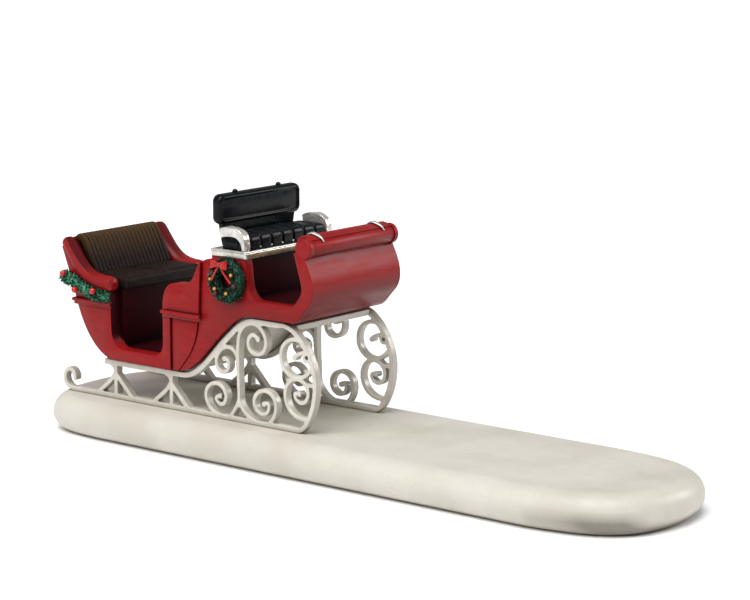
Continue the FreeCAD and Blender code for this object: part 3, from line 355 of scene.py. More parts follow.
def red_paint(name="red_paint", wing=False):
    """The body's satin red, brushed along its length, with painted shade in the recesses.

    The faces that look forward behind the door get painted shade, and on a wing its
    inner side instead. Painted shade also darkens the underside of the dash and the
    lower body in one stretch, and a painted shadow lies behind each wreath's middle."""
    shader = Shader(name)
    streaks = shader.noise(1.2, 4.0, shader.stretched((0.18, 0.18, 1.0)))
    paint = shader.mix(shader.remap(streaks, *CLOUD_RANGE), RED, RED_LIGHT)
    if wing:
        # Painted shade: the side of a wing that turns up and inward, behind its ridge, is painted dark.
        inside = shader.times(shader.toward((0.62, 0.0, 0.78), 0.55, 0.75),
                              shader.lies("X", WING_DARK_PART_X))
        paint = shader.over(paint, RED_WING_SHADE, inside, most=0.85)
    else:
        # Painted shade: faces that look forward behind the door, within its opening, are painted nearly
        # black.
        door_shade = shader.times(shader.faces("X", 0.80, 0.95), shader.lies("X", DOOR_PART_X))
        paint = shader.mix(door_shade, paint, RED_DOOR_SHADE)
    # Painted shade: faces at the front that look forward and down, under the dash, are painted darker.
    downward = shader.times(shader.faces("X", 0.35, 0.75), shader.faces("Z", 0.15, -0.35))
    belly_shade = shader.times(downward, shader.lies("X", BELLY_PART_X))
    paint = shader.over(paint, RED_BELLY_SHADE, belly_shade, most=0.75)
    # Painted shade: in one stretch of its length the body is painted darker toward the bottom.
    low = shader.times(shader.lies("X", LOW_PART_X), shader.lies("Z", LOW_PART_Z))
    paint = shader.over(paint, RED_LOW_SHADE, low, most=0.4)
    # Painted shadow: the body behind the middle of each wreath is painted nearly black.
    wreath_shadow = shader.near(*WREATH_MIDDLE, *WREATH_SHADOW_REACH)
    paint = shader.over(paint, RED_WREATH_SHADOW, wreath_shadow, most=0.85)
    # Painted shade: the recesses of the body are darkened nearly to black.
    colour = shader.over(paint, RED_RECESS_SHADE, shader.recess(1.2), most=0.92)
    roughness = shader.remap(streaks, *WEAR_RANGE, to_low=0.31, to_high=0.43)
    rolls = shader.bump(shader.noise(9.0, detail=2.0), depth=0.035)
    brush = shader.bump(streaks, depth=0.03, strength=0.4, below=rolls)
    fine = shader.bump(shader.noise(0.4, detail=2.0), depth=0.012, strength=0.4, below=brush)
    return shader.finish(colour, roughness, fine, Specular_IOR_Level=0.2)


def silver_paint():
    """Warm silver-white paint with painted shade on faces that look forward and in the scrolls, brown at
    a few corners.
    """
    shader = Shader("silver_paint")
    paint = shader.mix(shader.clouds(3.0), SILVER, SILVER_LIGHT)
    # Painted shade: faces that look forward are painted a darker grey.
    ahead = shader.toward((1.0, 0.0, 0.2), 0.35, 0.85)
    paint = shader.over(paint, SILVER_AHEAD_SHADE, ahead, most=0.5)
    # Painted shade: deep in the scrolls the sides are painted dark grey.
    wall_shade = shader.recess(3.2, open_at=0.80, full_at=0.25)
    paint = shader.over(paint, SILVER_WALL_SHADE, wall_shade, most=0.85)
    spots = shader.remap(shader.noise(2.4, detail=2.0), low=0.54, high=0.66)
    brown = shader.mix(spots, TARNISH, RUST)
    corners = shader.recess(0.7, open_at=0.75, full_at=0.35)
    colour = shader.over(paint, brown, corners, most=0.7)
    return shader.finish(colour, shader.worn(1.5, 0.28, 0.42),
                         shader.bump(shader.noise(0.8), depth=0.03), Metallic=0.15)


def bright_paint():
    """Hammered silver leaf on the driver's seat and the straps."""
    shader = Shader("bright_paint")
    paint = shader.mix(shader.clouds(1.6, detail=3.0), BRIGHT, BRIGHT_LIGHT)
    # Painted shade: the grooves of the silver leaf are darkened.
    grooves = shader.recess(0.9, open_at=0.80, full_at=0.35)
    colour = shader.over(paint, BRIGHT_RECESS_SHADE, grooves, most=0.85)
    hammered = shader.bump(shader.noise(2.6, detail=1.0), depth=0.12, strength=0.6)
    return shader.finish(colour, shader.worn(1.8, 0.2, 0.32), hammered, Metallic=0.6)


def brown_paint():
    """Dark brown upholstery with gold brushed on its highest edge and painted shade in its seams."""
    shader = Shader("brown_paint")
    paint = shader.mix(shader.clouds(2.0), BROWN, BROWN_LIGHT)
    height = shader.lies("Z", BACK_GOLD_PART_Z)
    broken = shader.remap(shader.noise(0.8), low=0.2, high=0.6, to_low=0.35, to_high=0.8)
    paint = shader.over(paint, BROWN_GOLD, height, broken)
    # Painted shade: the seams and recesses are darkened.
    colour = shader.over(paint, BROWN_RECESS_SHADE, shader.recess(1.0), most=0.8)
    return shader.finish(colour, shader.worn(1.2, 0.44, 0.58),
                         shader.bump(shader.noise(0.5), depth=0.03), Specular_IOR_Level=0.12)


def needle_paint(name, dark, light, frost):
    """Green that differs from needle to needle, a few of them frosted, with painted shade deep among
    them.
    """
    shader = Shader(name)
    island = shader.add("NewGeometry", {})["Random Per Island"]
    paint = shader.mix(island, dark, light)
    tint = shader.remap(shader.noise(1.4), *CLOUD_RANGE, to_high=0.5)
    paint = shader.mix(tint, paint, tuple(0.5 * c for c in dark))
    paint = shader.mix(shader.remap(island, *FROSTED), paint, frost)
    # Painted shade: deep among the needles the green is painted nearly black.
    inside = shader.recess(1.3, open_at=0.92, full_at=0.40)
    colour = shader.over(paint, tuple(0.08 * c for c in dark), inside, most=0.95)
    return shader.finish(colour, shader.worn(0.8, 0.34, 0.5),
                         shader.bump(shader.noise(0.3), depth=0.02), Specular_IOR_Level=0.25)


def plinth_paint():
    """Warm off-white satin with faint clouds, and painted shade under its front end and in its grooves.
    """
    shader = Shader("plinth_paint")
    wide = shader.remap(shader.noise(26.0, detail=4.0), low=0.38, high=0.62)
    paint = shader.mix(wide, CREAM, CREAM_LIGHT)
    specks = shader.remap(shader.noise(1.1), low=0.60, high=0.74)
    paint = shader.over(paint, CREAM_SPECK, specks, most=0.3)
    # Painted shade: the underside of the front end is painted dark.
    ahead = shader.times(shader.faces("X", 0.05, 0.35), shader.faces("X", 0.93, 0.70))
    below = shader.times(ahead, shader.faces("Z", 0.30, -0.30))
    paint = shader.over(paint, CREAM_FRONT_SHADE, below, most=0.75)
    # Painted shade: the grooves are darkened.
    grooves = shader.recess(1.6, open_at=0.85, full_at=0.40)
    colour = shader.over(paint, CREAM_RECESS_SHADE, grooves, most=0.55)
    rolls = shader.bump(shader.noise(11.0), depth=0.25)
    fine = shader.bump(shader.noise(0.7, detail=2.0), depth=0.02, below=rolls)
    return shader.finish(colour, shader.worn(4.0, 0.34, 0.48), fine)


# Meshes.


def smooth_line(points, steps=10, closed=False):
    """Points along a smooth curve through the given points."""
    spots = [Vector(point) for point in points]
    if closed:
        ends = [spots[-1]] + spots + spots[:2]
    else:
        ends = [2 * spots[0] - spots[1]] + spots + [2 * spots[-1] - spots[-2]]
    line = []
    for a, b, c, d in zip(ends, ends[1:], ends[2:], ends[3:]):
        for step in range(steps):
            t = step / steps
            line.append(0.5 * (2 * b + (c - a) * t + (2 * a - 5 * b + 4 * c - d) * t ** 2
                               + (3 * b - 3 * c + d - a) * t ** 3))
    return line if closed else line + [spots[-1]]


def smooth_values(values, steps=10, closed=False):
    """Numbers along a smooth curve through the given numbers."""
    line = smooth_line([(value, 0.0) for value in values], steps, closed)
    return [point[0] for point in line]


def ring_faces(rings, count, closed):
    """Faces between rings of as many vertices as the count, capped if they don't close."""
    faces = []
    pairs = [(i, (i + 1) % rings) for i in range(rings if closed else rings - 1)]
    for low, high in pairs:
        for k in range(count):
            after = (k + 1) % count
            faces.append((low * count + k, low * count + after, high * count + after, high * count + k))
    if not closed:
        faces.append(tuple(reversed(range(count))))
        faces.append(tuple(range((rings - 1) * count, rings * count)))
    return faces


def sweep(line, half_widths, half_heights, side, count=12, closed=False):
    """A flat oval swept along a line, its width toward the side."""
    verts = []
    for index, point in enumerate(line):
        before = line[index - 1] if index or closed else line[0]
        after = line[(index + 1) % len(line)] if index + 1 < len(line) or closed else line[-1]
        along = (after - before).normalized()
        across = (side - along * side.dot(along)).normalized()
        over = along.cross(across)
        for k in range(count):
            turn = 2 * math.pi * k / count
            verts.append(point + across * half_widths[index] * math.cos(turn)
                         + over * half_heights[index] * math.sin(turn))
    return verts, ring_faces(len(line), count, closed)


def ribbon(line, half_widths, half_thickness, side, closed=False):
    """A band of one thickness swept along a line."""
    return sweep(line, half_widths, [half_thickness] * len(line), side, closed=closed)


def globe(middle, radius, lobes=0, count=16):
    """A ball, or a lumpy one with rows of lobes."""
    rows = count // 2
    verts, faces = [middle + Vector((0, 0, radius))], []
    for row in range(1, rows):
        polar = math.pi * row / rows
        for k in range(count):
            turn = 2 * math.pi * (k + 0.5 * (row % 2)) / count
            lobe = LOBE_SHARE * math.cos(lobes * turn + math.pi * row) if lobes else 0.0
            verts.append(middle + radius * (1.0 + lobe) * Vector(
                (math.sin(polar) * math.cos(turn), math.sin(polar) * math.sin(turn), math.cos(polar))))
    verts.append(middle - Vector((0, 0, radius)))
    last = len(verts) - 1
    for k in range(count):
        after = (k + 1) % count
        faces.append((0, 1 + k, 1 + after))
        faces.append((last, last - count + after, last - count + k))
        for row in range(rows - 2):
            low = 1 + row * count
            faces.append((low + k, low + count + k, low + count + after, low + after))
    return verts, faces


def globes(places, sign, radius, lobes=0, count=16):
    """Balls at places (x, outward, z) on one side, as one mesh."""
    return merged([globe(Vector((x, sign * y, z)), radius, lobes, count) for x, y, z in places])


def ramp(value, start, width):
    """From 0 at the start to 1 a width further on."""
    return min(max((value - start) / width, 0.0), 1.0)


def dome(distance, radius, fullness=2.4):
    """The share of the full height at a distance inside a rounded rim."""
    inward = 1.0 - ramp(distance, 0.0, radius)
    return (1.0 - inward ** fullness) ** (1.0 / fullness)


def plain(thickness, radius, fullness=2.4):
    """The height of a pad's side that is flat inside its rounded rim."""
    return lambda a, b, rim: thickness * dome(rim, radius, fullness)


def crowned(place, half, power=2):
    """1 in the middle, falling to 0 at the ends, and later for a higher power."""
    return 1 - (place / half) ** power


def groove(distance, half_width):
    """1 in the middle of a seam, falling to 0 beside it."""
    return math.exp(-(distance / half_width) ** 2)


def nearest_seam(place, half, channels):
    """The distance to the nearest seam between channels of equal width."""
    width = 2.0 * half / channels
    share = (place + half) / width
    nearest = min(max(round(share), 1), channels - 1)
    return abs(share - nearest) * width


def pulled(place, half, beside, beside_half, pull, power=9):
    """A place drawn inward near its end, most of all midway between the corners."""
    return place - pull * crowned(beside, beside_half) * (place / half) ** power


def pillow(half, corner, counts, top, bottom, place):
    """A closed pad over a rounded rectangle.

    top and bottom give its height above and below at (a, b, distance to the rim), and
    place puts a point (a, b, height) in space."""
    verts, faces, index = [], [], {}
    for i in range(counts[0] + 1):
        for j in range(counts[1] + 1):
            a, b, rim = rounded_spot(i / counts[0], j / counts[1], half, corner)
            on_rim = i in (0, counts[0]) or j in (0, counts[1])
            index[i, j, 0] = index[i, j, 1] = len(verts)
            verts.append(place(a, b, 0.0 if on_rim else top(a, b, rim)))
            if not on_rim:
                index[i, j, 1] = len(verts)
                verts.append(place(a, b, -bottom(a, b, rim)))
    for i in range(counts[0]):
        for j in range(counts[1]):
            ring = [(i, j), (i + 1, j), (i + 1, j + 1), (i, j + 1)]
            faces.append(tuple(index[p, q, 0] for p, q in ring))
            faces.append(tuple(index[p, q, 1] for p, q in reversed(ring)))
    return verts, faces


def rounded_spot(share_a, share_b, half, corner):
    """A point of a rounded rectangle, crowded toward its rim, and its distance to it."""
    a, b = (extent * math.sin(math.pi * (share - 0.5))
            for extent, share in zip(half, (share_a, share_b)))
    past_a, past_b = abs(a) - (half[0] - corner), abs(b) - (half[1] - corner)
    if past_a <= 0 or past_b <= 0:
        return a, b, min(half[0] - abs(a), half[1] - abs(b))
    pull = max(past_a, past_b) / math.hypot(past_a, past_b)
    rim = corner - max(past_a, past_b)
    a = math.copysign(half[0] - corner + past_a * pull, a)
    b = math.copysign(half[1] - corner + past_b * pull, b)
    return a, b, rim


def merged(meshes):
    """Several (vertices, faces) as one."""
    verts, faces = [], []
    for some_verts, some_faces in meshes:
        start = len(verts)
        verts += some_verts
        faces += [tuple(start + k for k in face) for face in some_faces]
    return verts, faces


def add_piece(name, shape, material, replaced=(), flat=False):
    """Make an object of (vertices in mm from the datum, faces) that rides on the body."""
    verts, faces = shape
    mesh = bpy.data.meshes.new(name)
    mesh.from_pydata([at(*vert) for vert in verts], [], faces)
    work = bmesh.new()
    work.from_mesh(mesh)
    bmesh.ops.recalc_face_normals(work, faces=work.faces)
    work.to_mesh(mesh)
    work.free()
    mesh.polygons.foreach_set("use_smooth", [not flat] * len(mesh.polygons))
    mesh.materials.append(material)
    piece = add_object(name, mesh)
    if replaced:
        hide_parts(*replaced)
    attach(piece, BODY)
    return piece


# Working on the CAD nodes.


def smooth_group():
    """A node group that shades smoothly except across sharp edges."""
    if "smooth_by_angle" in bpy.data.node_groups:
        return bpy.data.node_groups["smooth_by_angle"]
    group = bpy.data.node_groups.new("smooth_by_angle", "GeometryNodeTree")
    group.interface.new_socket("Geometry", in_out="INPUT", socket_type="NodeSocketGeometry")
    group.interface.new_socket("Geometry", in_out="OUTPUT", socket_type="NodeSocketGeometry")
    nodes, links = group.nodes, group.links
    start, end = nodes.new("NodeGroupInput"), nodes.new("NodeGroupOutput")
    angle = nodes.new("GeometryNodeInputMeshEdgeAngle")
    compare = nodes.new("FunctionNodeCompare")
    compare.operation = "LESS_THAN"
    compare.inputs["B"].default_value = SHARP_ANGLE
    links.new(angle.outputs["Unsigned Angle"], compare.inputs["A"])
    geometry = start.outputs[0]
    for domain in ("EDGE", "FACE"):
        step = nodes.new("GeometryNodeSetShadeSmooth")
        step.domain = domain
        links.new(geometry, step.inputs["Geometry"])
        if domain == "EDGE":
            links.new(compare.outputs["Result"], step.inputs["Shade Smooth"])
        geometry = step.outputs[0]
    links.new(geometry, end.inputs[0])
    return group


def soften(node, width):
    """Round the sharp edges of a CAD node by modifiers."""
    flat = node.modifiers.new("flat", "DECIMATE")
    flat.decimate_type = "DISSOLVE"
    flat.angle_limit = FLAT_ANGLE
    edge = node.modifiers.new("edge", "BEVEL")
    edge.width = width * MM
    edge.segments = 2
    edge.limit_method = "ANGLE"
    edge.angle_limit = SHARP_ANGLE


def recast(piece, voxel, rounds, dent=0.0):
    """Remesh a piece finely and smooth it, as if it were cast, by modifiers."""
    cast = piece.modifiers.new("cast", "REMESH")
    cast.mode = "VOXEL"
    cast.voxel_size = voxel * MM
    cast.use_smooth_shade = True
    melt = piece.modifiers.new("melt", "SMOOTH")
    melt.factor = 0.5
    melt.iterations = rounds
    if dent:
        clouds = bpy.data.textures.new("dents", "CLOUDS")
        clouds.noise_scale = DENT_SIZE * MM
        press = piece.modifiers.new("press", "DISPLACE")
        press.texture = clouds
        press.strength = dent * MM
        press.mid_level = 0.5


def dressed(name, material):
    """A CAD node with its material, and its doubled vertices joined by a modifier."""
    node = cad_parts[name]
    node.data.materials.clear()
    node.data.materials.append(material)
    node.modifiers.new("weld", "WELD").merge_threshold = WELD_REACH * MM
    return node


def both(*stems):
    """The names of the right and left nodes of each stem."""
    return [stem + "_" + side for stem in stems for side in SIDES]


def paint_nodes(names, material, width=0.0):
    """Material, soft edges if they have a width and smooth shading for some CAD nodes."""
    for name in names:
        node = dressed(name, material)
        if width:
            soften(node, width)
        node.modifiers.new("shade", "NODES").node_group = smooth_group()


def paint_body():
    """The body's CAD nodes, with near-black paint as painted shade inside the cabin and the footwell."""
    red = red_paint()
    # Painted shade: the cabin and footwell get a near-black red for the shade that falls inside.
    inner = painted("inner_shade_paint", base=(0.026, 0.0016, 0.0028), recess_shade=(0.005, 0.0006, 0.001),
                    gloss=0.42, reach=6.0, Specular_IOR_Level=0.06)
    paint_nodes(both("body_side", "cabin_skin", "lower_panel", "front_belt"), red, BODY_ROUND)
    paint_nodes(["rear_belt", "dash_panel", "rear_shell", "bottom_sheet"], red, BODY_ROUND)
    paint_nodes(["dash_roll", "dash_lining"], red, ROLL_ROUND)
    paint_nodes(["cabin_floor", "bulkhead", "footwell_floor", "seat_box_front", "bench_riser"], inner)
    paint_nodes(["plinth"], plinth_paint())


# Pieces.


def join_runner(side, material):
    """One casting of a runner's frame, struts and scrolls."""
    names = ["runner_" + part + "_" + side for part in ("frame", "struts", "scrolls")]
    work = bmesh.new()
    for name in names:
        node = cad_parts[name]
        part = node.data.copy()
        part.transform(node.matrix_world)
        work.from_mesh(part)
        bpy.data.meshes.remove(part)
    mesh = bpy.data.meshes.new("runner_cast_" + side)
    work.to_mesh(mesh)
    work.free()
    mesh.materials.clear()
    mesh.materials.append(material)
    piece = add_object("runner_cast_" + side, mesh)
    recast(piece, CAST_VOXEL, CAST_SMOOTHING)
    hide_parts(*names)
    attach(piece, BODY)


def make_runners():
    """The two runners, with the plate and the bar between them."""
    silver = silver_paint()
    for side in SIDES:
        join_runner(side, silver)
    paint_nodes(["saddle_plate"], silver, PLATE_ROUND)
    bar = dressed("crossbar", silver)
    recast(bar, BAR_VOXEL, BAR_SMOOTHING)
    swell = bar.modifiers.new("swell", "DISPLACE")
    swell.strength = BAR_SWELL * MM
    swell.mid_level = 0.0


def wing_swell(degrees):
    """How far a wing's outer side stands out at an angle, 0 pointing outward."""
    beads = sum(groove(degrees - bead, WING_BEAD_SPREAD) for bead in WING_BEADS)
    hollow = groove(degrees - sum(WING_BEADS) / 2, WING_HOLLOW_SPREAD)
    return WING_BEAD_HEIGHT * beads - WING_HOLLOW_DEPTH * hollow


def make_wings():
    """The rolled arms of the passengers' seat, with beads and round ends."""
    rings = smooth_line(WING_RINGS, WING_STEPS)
    red = red_paint("wing_red", wing=True)
    for side, sign in SIDES.items():
        verts = []
        for index, (x, z, half_height, half_width) in enumerate(rings):
            before, after = rings[max(index - 1, 0)], rings[min(index + 1, len(rings) - 1)]
            along = Vector((after[0] - before[0], after[1] - before[1])).normalized()
            for k in range(WING_COUNT):
                turn = math.radians(360.0 * k / WING_COUNT - 180.0)
                swell = wing_swell(math.degrees(turn)) * min(half_height / WING_FULL_HALF_HEIGHT, 1.0)
                out = (half_width + swell) * math.cos(turn)
                up = (half_height + swell) * math.sin(turn)
                verts.append(Vector((x - along[1] * up, sign * (WING_Y + out), z + along[0] * up)))
        shape = verts, ring_faces(len(rings), WING_COUNT, False)
        add_piece("wing_roll_" + side, shape, red, ["wing_" + side])


def make_driver_cushion(material):
    """The driver's cushion: a crowned pad with sewn channels from front to rear."""
    half, thickness = CUSHION_HALF, CUSHION_HEIGHT / 2

    def seam(b):
        return groove(nearest_seam(b, half[1], CUSHION_CHANNELS), CUSHION_SEAM)

    def top(a, b, rim):
        crown = CUSHION_CROWN * crowned(a, half[0]) * crowned(b, half[1], power=4)
        height = thickness * dome(rim, CUSHION_ROUND) + crown
        return height * (1.0 - CUSHION_SEAM_SHARE * seam(b))

    def place(a, b, height):
        waist = CUSHION_WAIST * crowned(b, half[1]) + CUSHION_SEAM_WAIST * seam(b)
        a -= waist * (a / half[0]) ** CUSHION_WAIST_POWER
        b = pulled(b, half[1], a, half[0], END_PULL)
        return CUSHION_MIDDLE + a, b, CUSHION_FLOOR + thickness + height

    bottom = plain(thickness, CUSHION_FOOT_ROUND, fullness=3.0)
    shape = pillow(half, CUSHION_CORNER, CUSHION_COUNTS, top, bottom, place)
    add_piece("driver_seat_pad", shape, material, ["driver_cushion"])


def make_driver_backrest(material):
    """The driver's backrest: a rounded slab with a piped, sunk and crowned panel."""
    half, thickness = BACKREST_HALF, BACKREST_THICKNESS / 2

    def front(a, b, rim):
        sunk = ramp(rim, PANEL_INSET, PANEL_SLOPE)
        crown = PANEL_CROWN * crowned(a, half[0], power=4) * crowned(b, half[1])
        piping = PIPING_HEIGHT * groove(rim - PIPING_INSET, PIPING_SPREAD)
        return thickness * dome(rim, BACKREST_ROUND) + piping + sunk * (crown - PANEL_DEPTH)

    def back(a, b, rim):
        crown = BACKREST_REAR_CROWN * crowned(a, half[0])
        return thickness * dome(rim, BACKREST_ROUND) + crown

    def place(a, b, height):
        a = pulled(a, half[0], b, half[1], END_PULL)
        return BACKREST_X + height, a, BACKREST_Z + b

    shape = pillow(half, BACKREST_CORNER, BACKREST_COUNTS, front, back, place)
    add_piece("driver_back_pad", shape, material, ["driver_backrest"])


def make_driver_web(material):
    """The black panel round the two stays, from the tray up into the backrest."""
    half, thickness = (WEB_HALF_WIDTH, (WEB_TOP - TRAY_TOP) / 2), WEB_THICKNESS / 2

    def place(a, b, height):
        a *= 1.0 - WEB_TAPER * (half[1] - b) / (2 * half[1])
        return BACKREST_X + height, a, TRAY_TOP + half[1] + b

    face = plain(thickness, WEB_ROUND)
    shape = pillow(half, WEB_CORNER, WEB_COUNTS, face, face, place)
    add_piece("driver_back_web", shape, material)


def make_bench(material):
    """The passengers' cushion: crowned, with a seam between its two places."""
    half, thickness = BENCH_HALF, BENCH_THICKNESS / 2

    def top(a, b, rim):
        crown = BENCH_CROWN * crowned(a, half[0]) * abs(math.sin(math.pi * b / half[1]))
        seam = BENCH_SEAM_DEPTH * groove(b, BENCH_SEAM)
        welt = BENCH_WELT_DEPTH * groove(rim - BENCH_WELT_INSET, BENCH_WELT)
        rise = dome(rim, BENCH_ROUND)
        return thickness * rise + crown - (seam + welt) * rise

    def place(a, b, height):
        a = pulled(a, half[0], b, half[1], BENCH_FRONT_PULL, BENCH_FRONT_POWER)
        b = pulled(b, half[1], a, half[0], END_PULL)
        return BENCH_MIDDLE + a, b, BENCH_Z + height

    bottom = plain(thickness, BENCH_FOOT_ROUND, fullness=3.0)
    shape = pillow(half, BENCH_CORNER, BENCH_COUNTS, top, bottom, place)
    add_piece("bench_pad", shape, material, ["bench_cushion"])


def make_back_pad(material):
    """The passengers' back: sewn channels that run down over a rounded top."""
    line = smooth_line(BACK_LINE)
    lengths = [0.0]
    for one, other in zip(line, line[1:]):
        lengths.append(lengths[-1] + (other - one).length)
    half = (BACK_HALF, lengths[-1] / 2)

    def front(a, b, rim):
        seam = groove(nearest_seam(a, half[0], BACK_CHANNELS), BACK_SEAM)
        return BACK_SWELL * dome(rim, BACK_ROUND) * (1.0 - BACK_SEAM_SHARE * seam)

    def place(a, b, height):
        way = min(max(b + half[1], 0.0), lengths[-1])
        step = min(sum(length < way for length in lengths[1:-1]), len(line) - 2)
        share = (way - lengths[step]) / (lengths[step + 1] - lengths[step])
        spot = line[step].lerp(line[step + 1], share)
        along = (line[min(step + 2, len(line) - 1)] - line[max(step - 1, 0)]).normalized()
        a = pulled(a, half[0], b, half[1], BACK_END_PULL)
        return spot[0] - height * along[1], a, spot[1] + height * along[0]

    back = plain(BACK_THICKNESS, BACK_REAR_ROUND)
    shape = pillow(half, BACK_CORNER, BACK_COUNTS, front, back, place)
    add_piece("back_pad_sewn", shape, material, ["back_pad"])


def make_seat_trim(bright, black, gold):
    """The arms, the tray's lip and front band, and the small studs of the seat."""
    for name in both("arm_arch"):
        recast(dressed(name, bright), ARM_VOXEL, ARM_SMOOTHING, ARM_DENT)
    paint_nodes(["seat_tray"], bright, TRAY_ROUND)
    paint_nodes(both("arm_panel") + ["backrest_stays", "backrest_knobs"], black, TRIM_ROUND)
    upward = Vector((0, 0, 1))
    corners = [(TRAY_REAR, -TRAY_HALF), (TRAY_FRONT, -TRAY_HALF), (TRAY_FRONT, TRAY_HALF),
               (TRAY_REAR, TRAY_HALF)]
    line = []
    for (x, y), (next_x, next_y) in zip(corners, corners[1:] + corners[:1]):
        for share in LIP_SHARES:
            line.append(Vector((x + (next_x - x) * share, y + (next_y - y) * share, TRAY_TOP)))
    line = smooth_line(line, LIP_STEPS, closed=True)
    lip = ribbon(line, [LIP_HALF_HEIGHT] * len(line), LIP_HALF_WIDTH, upward, closed=True)
    add_piece("tray_lip", lip, bright)
    ends = [Vector((BAND_X, y, BAND_Z)) for y in BAND_Y]
    band = sweep(ends, BAND_HALF_HEIGHTS, BAND_HALF_DEPTHS, upward)
    add_piece("tray_band", band, gold)
    width = 2.0 * CUSHION_HALF[1] / CUSHION_CHANNELS
    seams = [(CUSHION_MIDDLE + CUSHION_HALF[0] - STUD_INSET, -CUSHION_HALF[1] + width * k,
              CUSHION_FLOOR + STUD_RISE) for k in range(1, CUSHION_CHANNELS)]
    add_piece("cushion_studs", globes(seams, 1.0, STUD_RADIUS), bright)


def make_plaques(material):
    """A raised field on the black panel below each arm."""
    def front(a, b, rim):
        sunk = ramp(rim, FIELD_SINK_INSET, FIELD_SINK_SLOPE)
        return FIELD_HEIGHT * dome(rim, FIELD_ROUND) - FIELD_SINK * sunk

    def back(a, b, rim):
        return FIELD_ROOT

    for side, sign in SIDES.items():
        def place(a, b, height):
            return FIELD_MIDDLE[0] + a, sign * (FIELD_Y + height), FIELD_MIDDLE[1] + b

        shape = pillow(FIELD_HALF, FIELD_CORNER, FIELD_COUNTS, front, back, place)
        add_piece("arm_field_" + side, shape, material)


def make_straps(material):
    """A leaf-shaped bright strap on each end of the dash roll."""
    for side, sign in SIDES.items():
        line = [Vector((x, sign * SPUR_Y, z)) for x, z in smooth_line(SPUR_LINE, SPUR_STEPS)]
        shape = sweep(line, smooth_values(SPUR_HALF_WIDTHS, SPUR_STEPS),
                      smooth_values(SPUR_HALF_HEIGHTS, SPUR_STEPS), Vector((0, 1, 0)))
        add_piece("spur_" + side, shape, material, ["roll_strap_" + side])


def needle(root, direction, length, width, dice):
    """One needle: a thin pyramid of three sides."""
    aside = direction.cross(Vector((dice.uniform(-1, 1), dice.uniform(-1, 1), 1.0)))
    aside = aside.normalized() * width
    other = direction.cross(aside)
    verts = [root + aside, root - 0.5 * aside + 0.87 * other,
             root - 0.5 * aside - 0.87 * other, root + direction * length]
    return verts, [(0, 2, 1), (0, 1, 3), (1, 2, 3), (2, 0, 3)]


def scattered(dice, spread):
    """A vector whose coordinates are drawn at random with a spread."""
    return Vector([dice.gauss(0, spread) for _ in range(3)])


def bristle(line, side, radii, needles, dice, keep, closed=False):
    """A core along a line with needles that lean along it to one side or the other."""
    count, lengths, width = needles
    shapes = [sweep(line, radii, radii, side, closed=closed)]
    while len(shapes) <= count:
        step = dice.randrange(len(line) if closed else len(line) - 1)
        start, end = line[step], line[(step + 1) % len(line)]
        along = (end - start).normalized()
        spot = start.lerp(end, dice.random())
        out = along.cross(scattered(dice, 1)).normalized()
        lean = along * dice.choice((-NEEDLE_LEAN, NEEDLE_LEAN)) + scattered(dice, NEEDLE_STRAY)
        direction = (out + lean).normalized()
        length = dice.uniform(*lengths)
        root = spot + out * radii[step] * NEEDLE_ROOT_SHARE
        if keep(root + direction * length):
            shapes.append(needle(root, direction, length, width, dice))
    return merged(shapes)


def make_wreath(side, sign, green):
    """One wreath's ring of needles."""
    line = []
    for k in range(WREATH_COUNT):
        turn = 2 * math.pi * k / WREATH_COUNT
        line.append(Vector((WREATH_MIDDLE[0] + WREATH_MEAN * math.cos(turn), sign * WREATH_Y,
                            WREATH_MIDDLE[1] + WREATH_MEAN * math.sin(turn))))
    shape = bristle(line, Vector((0, 1, 0)), [WREATH_CORE] * len(line), WREATH_NEEDLES,
                    random.Random(WREATH_SEEDS[side]), lambda tip: abs(tip.y) > WREATH_CLEAR_Y,
                    closed=True)
    add_piece("fir_wreath_" + side, shape, green, ["wreath_" + side], flat=True)


def make_garland(green):
    """The rope of greenery from door to door round the rear."""
    right = [Vector((x, -y, z)) for x, y, z in GARLAND_LINE]
    left = [Vector((p.x, -p.y, p.z)) for p in right[-2::-1]]
    line = smooth_line(right + left, GARLAND_STEPS)
    radii = smooth_values(GARLAND_CORES + GARLAND_CORES[-2::-1], GARLAND_STEPS)
    radii[0] = radii[-1] = GARLAND_END_SHARE * GARLAND_CORES[0]
    shape = bristle(line, Vector((0, 0, 1)), radii, GARLAND_NEEDLES, random.Random(GARLAND_SEED),
                    lambda tip: abs(tip.y) > GARLAND_CLEAR_Y or tip.x < GARLAND_CLEAR_X)
    add_piece("fir_garland", shape, green, ["garland"], flat=True)


def make_bow(side, sign, material):
    """Two loops, a knot and two tails of ribbon."""
    def put(point, way=1.0):
        return Vector((BOW_KNOT[0] + way * point[0], sign * (BOW_KNOT[1] + point[1]),
                       BOW_KNOT[2] + point[2]))

    shapes = [globe(put((0, BOW_KNOT_RISE, 0)), BOW_KNOT_RADIUS)]
    widths = smooth_values(BOW_LOOP_HALF_WIDTHS, RIBBON_STEPS, closed=True)
    for way in (-1.0, 1.0):
        line = smooth_line([put(point, way) for point in BOW_LOOP], RIBBON_STEPS, closed=True)
        shapes.append(ribbon(line, widths, RIBBON_HALF_THICKNESS, Vector((0, 0, 1)), closed=True))
    widths = smooth_values(TAIL_HALF_WIDTHS, RIBBON_STEPS)
    for tail in BOW_TAILS:
        line = smooth_line([put(point) for point in tail], RIBBON_STEPS)
        side_way = Vector((1, 0, TAIL_SLANT * math.copysign(1, tail[-1][0])))
        shapes.append(ribbon(line, widths, RIBBON_HALF_THICKNESS, side_way))
    add_piece("ribbon_bow_" + side, merged(shapes), material, ["wreath_bow_" + side])


def make_berries(side, sign, gold, cone):
    """The gold berries and the small cones of one wreath."""
    add_piece("gold_beads_" + side, globes(GOLD, sign, GOLD_RADIUS), gold,
              ["gold_berries_" + side])
    cones = globes(CONES, sign, CONE_RADIUS, CONE_LOBES, FINE_COUNT)
    add_piece("fir_cones_" + side, cones, cone, ["cone_berries_" + side])


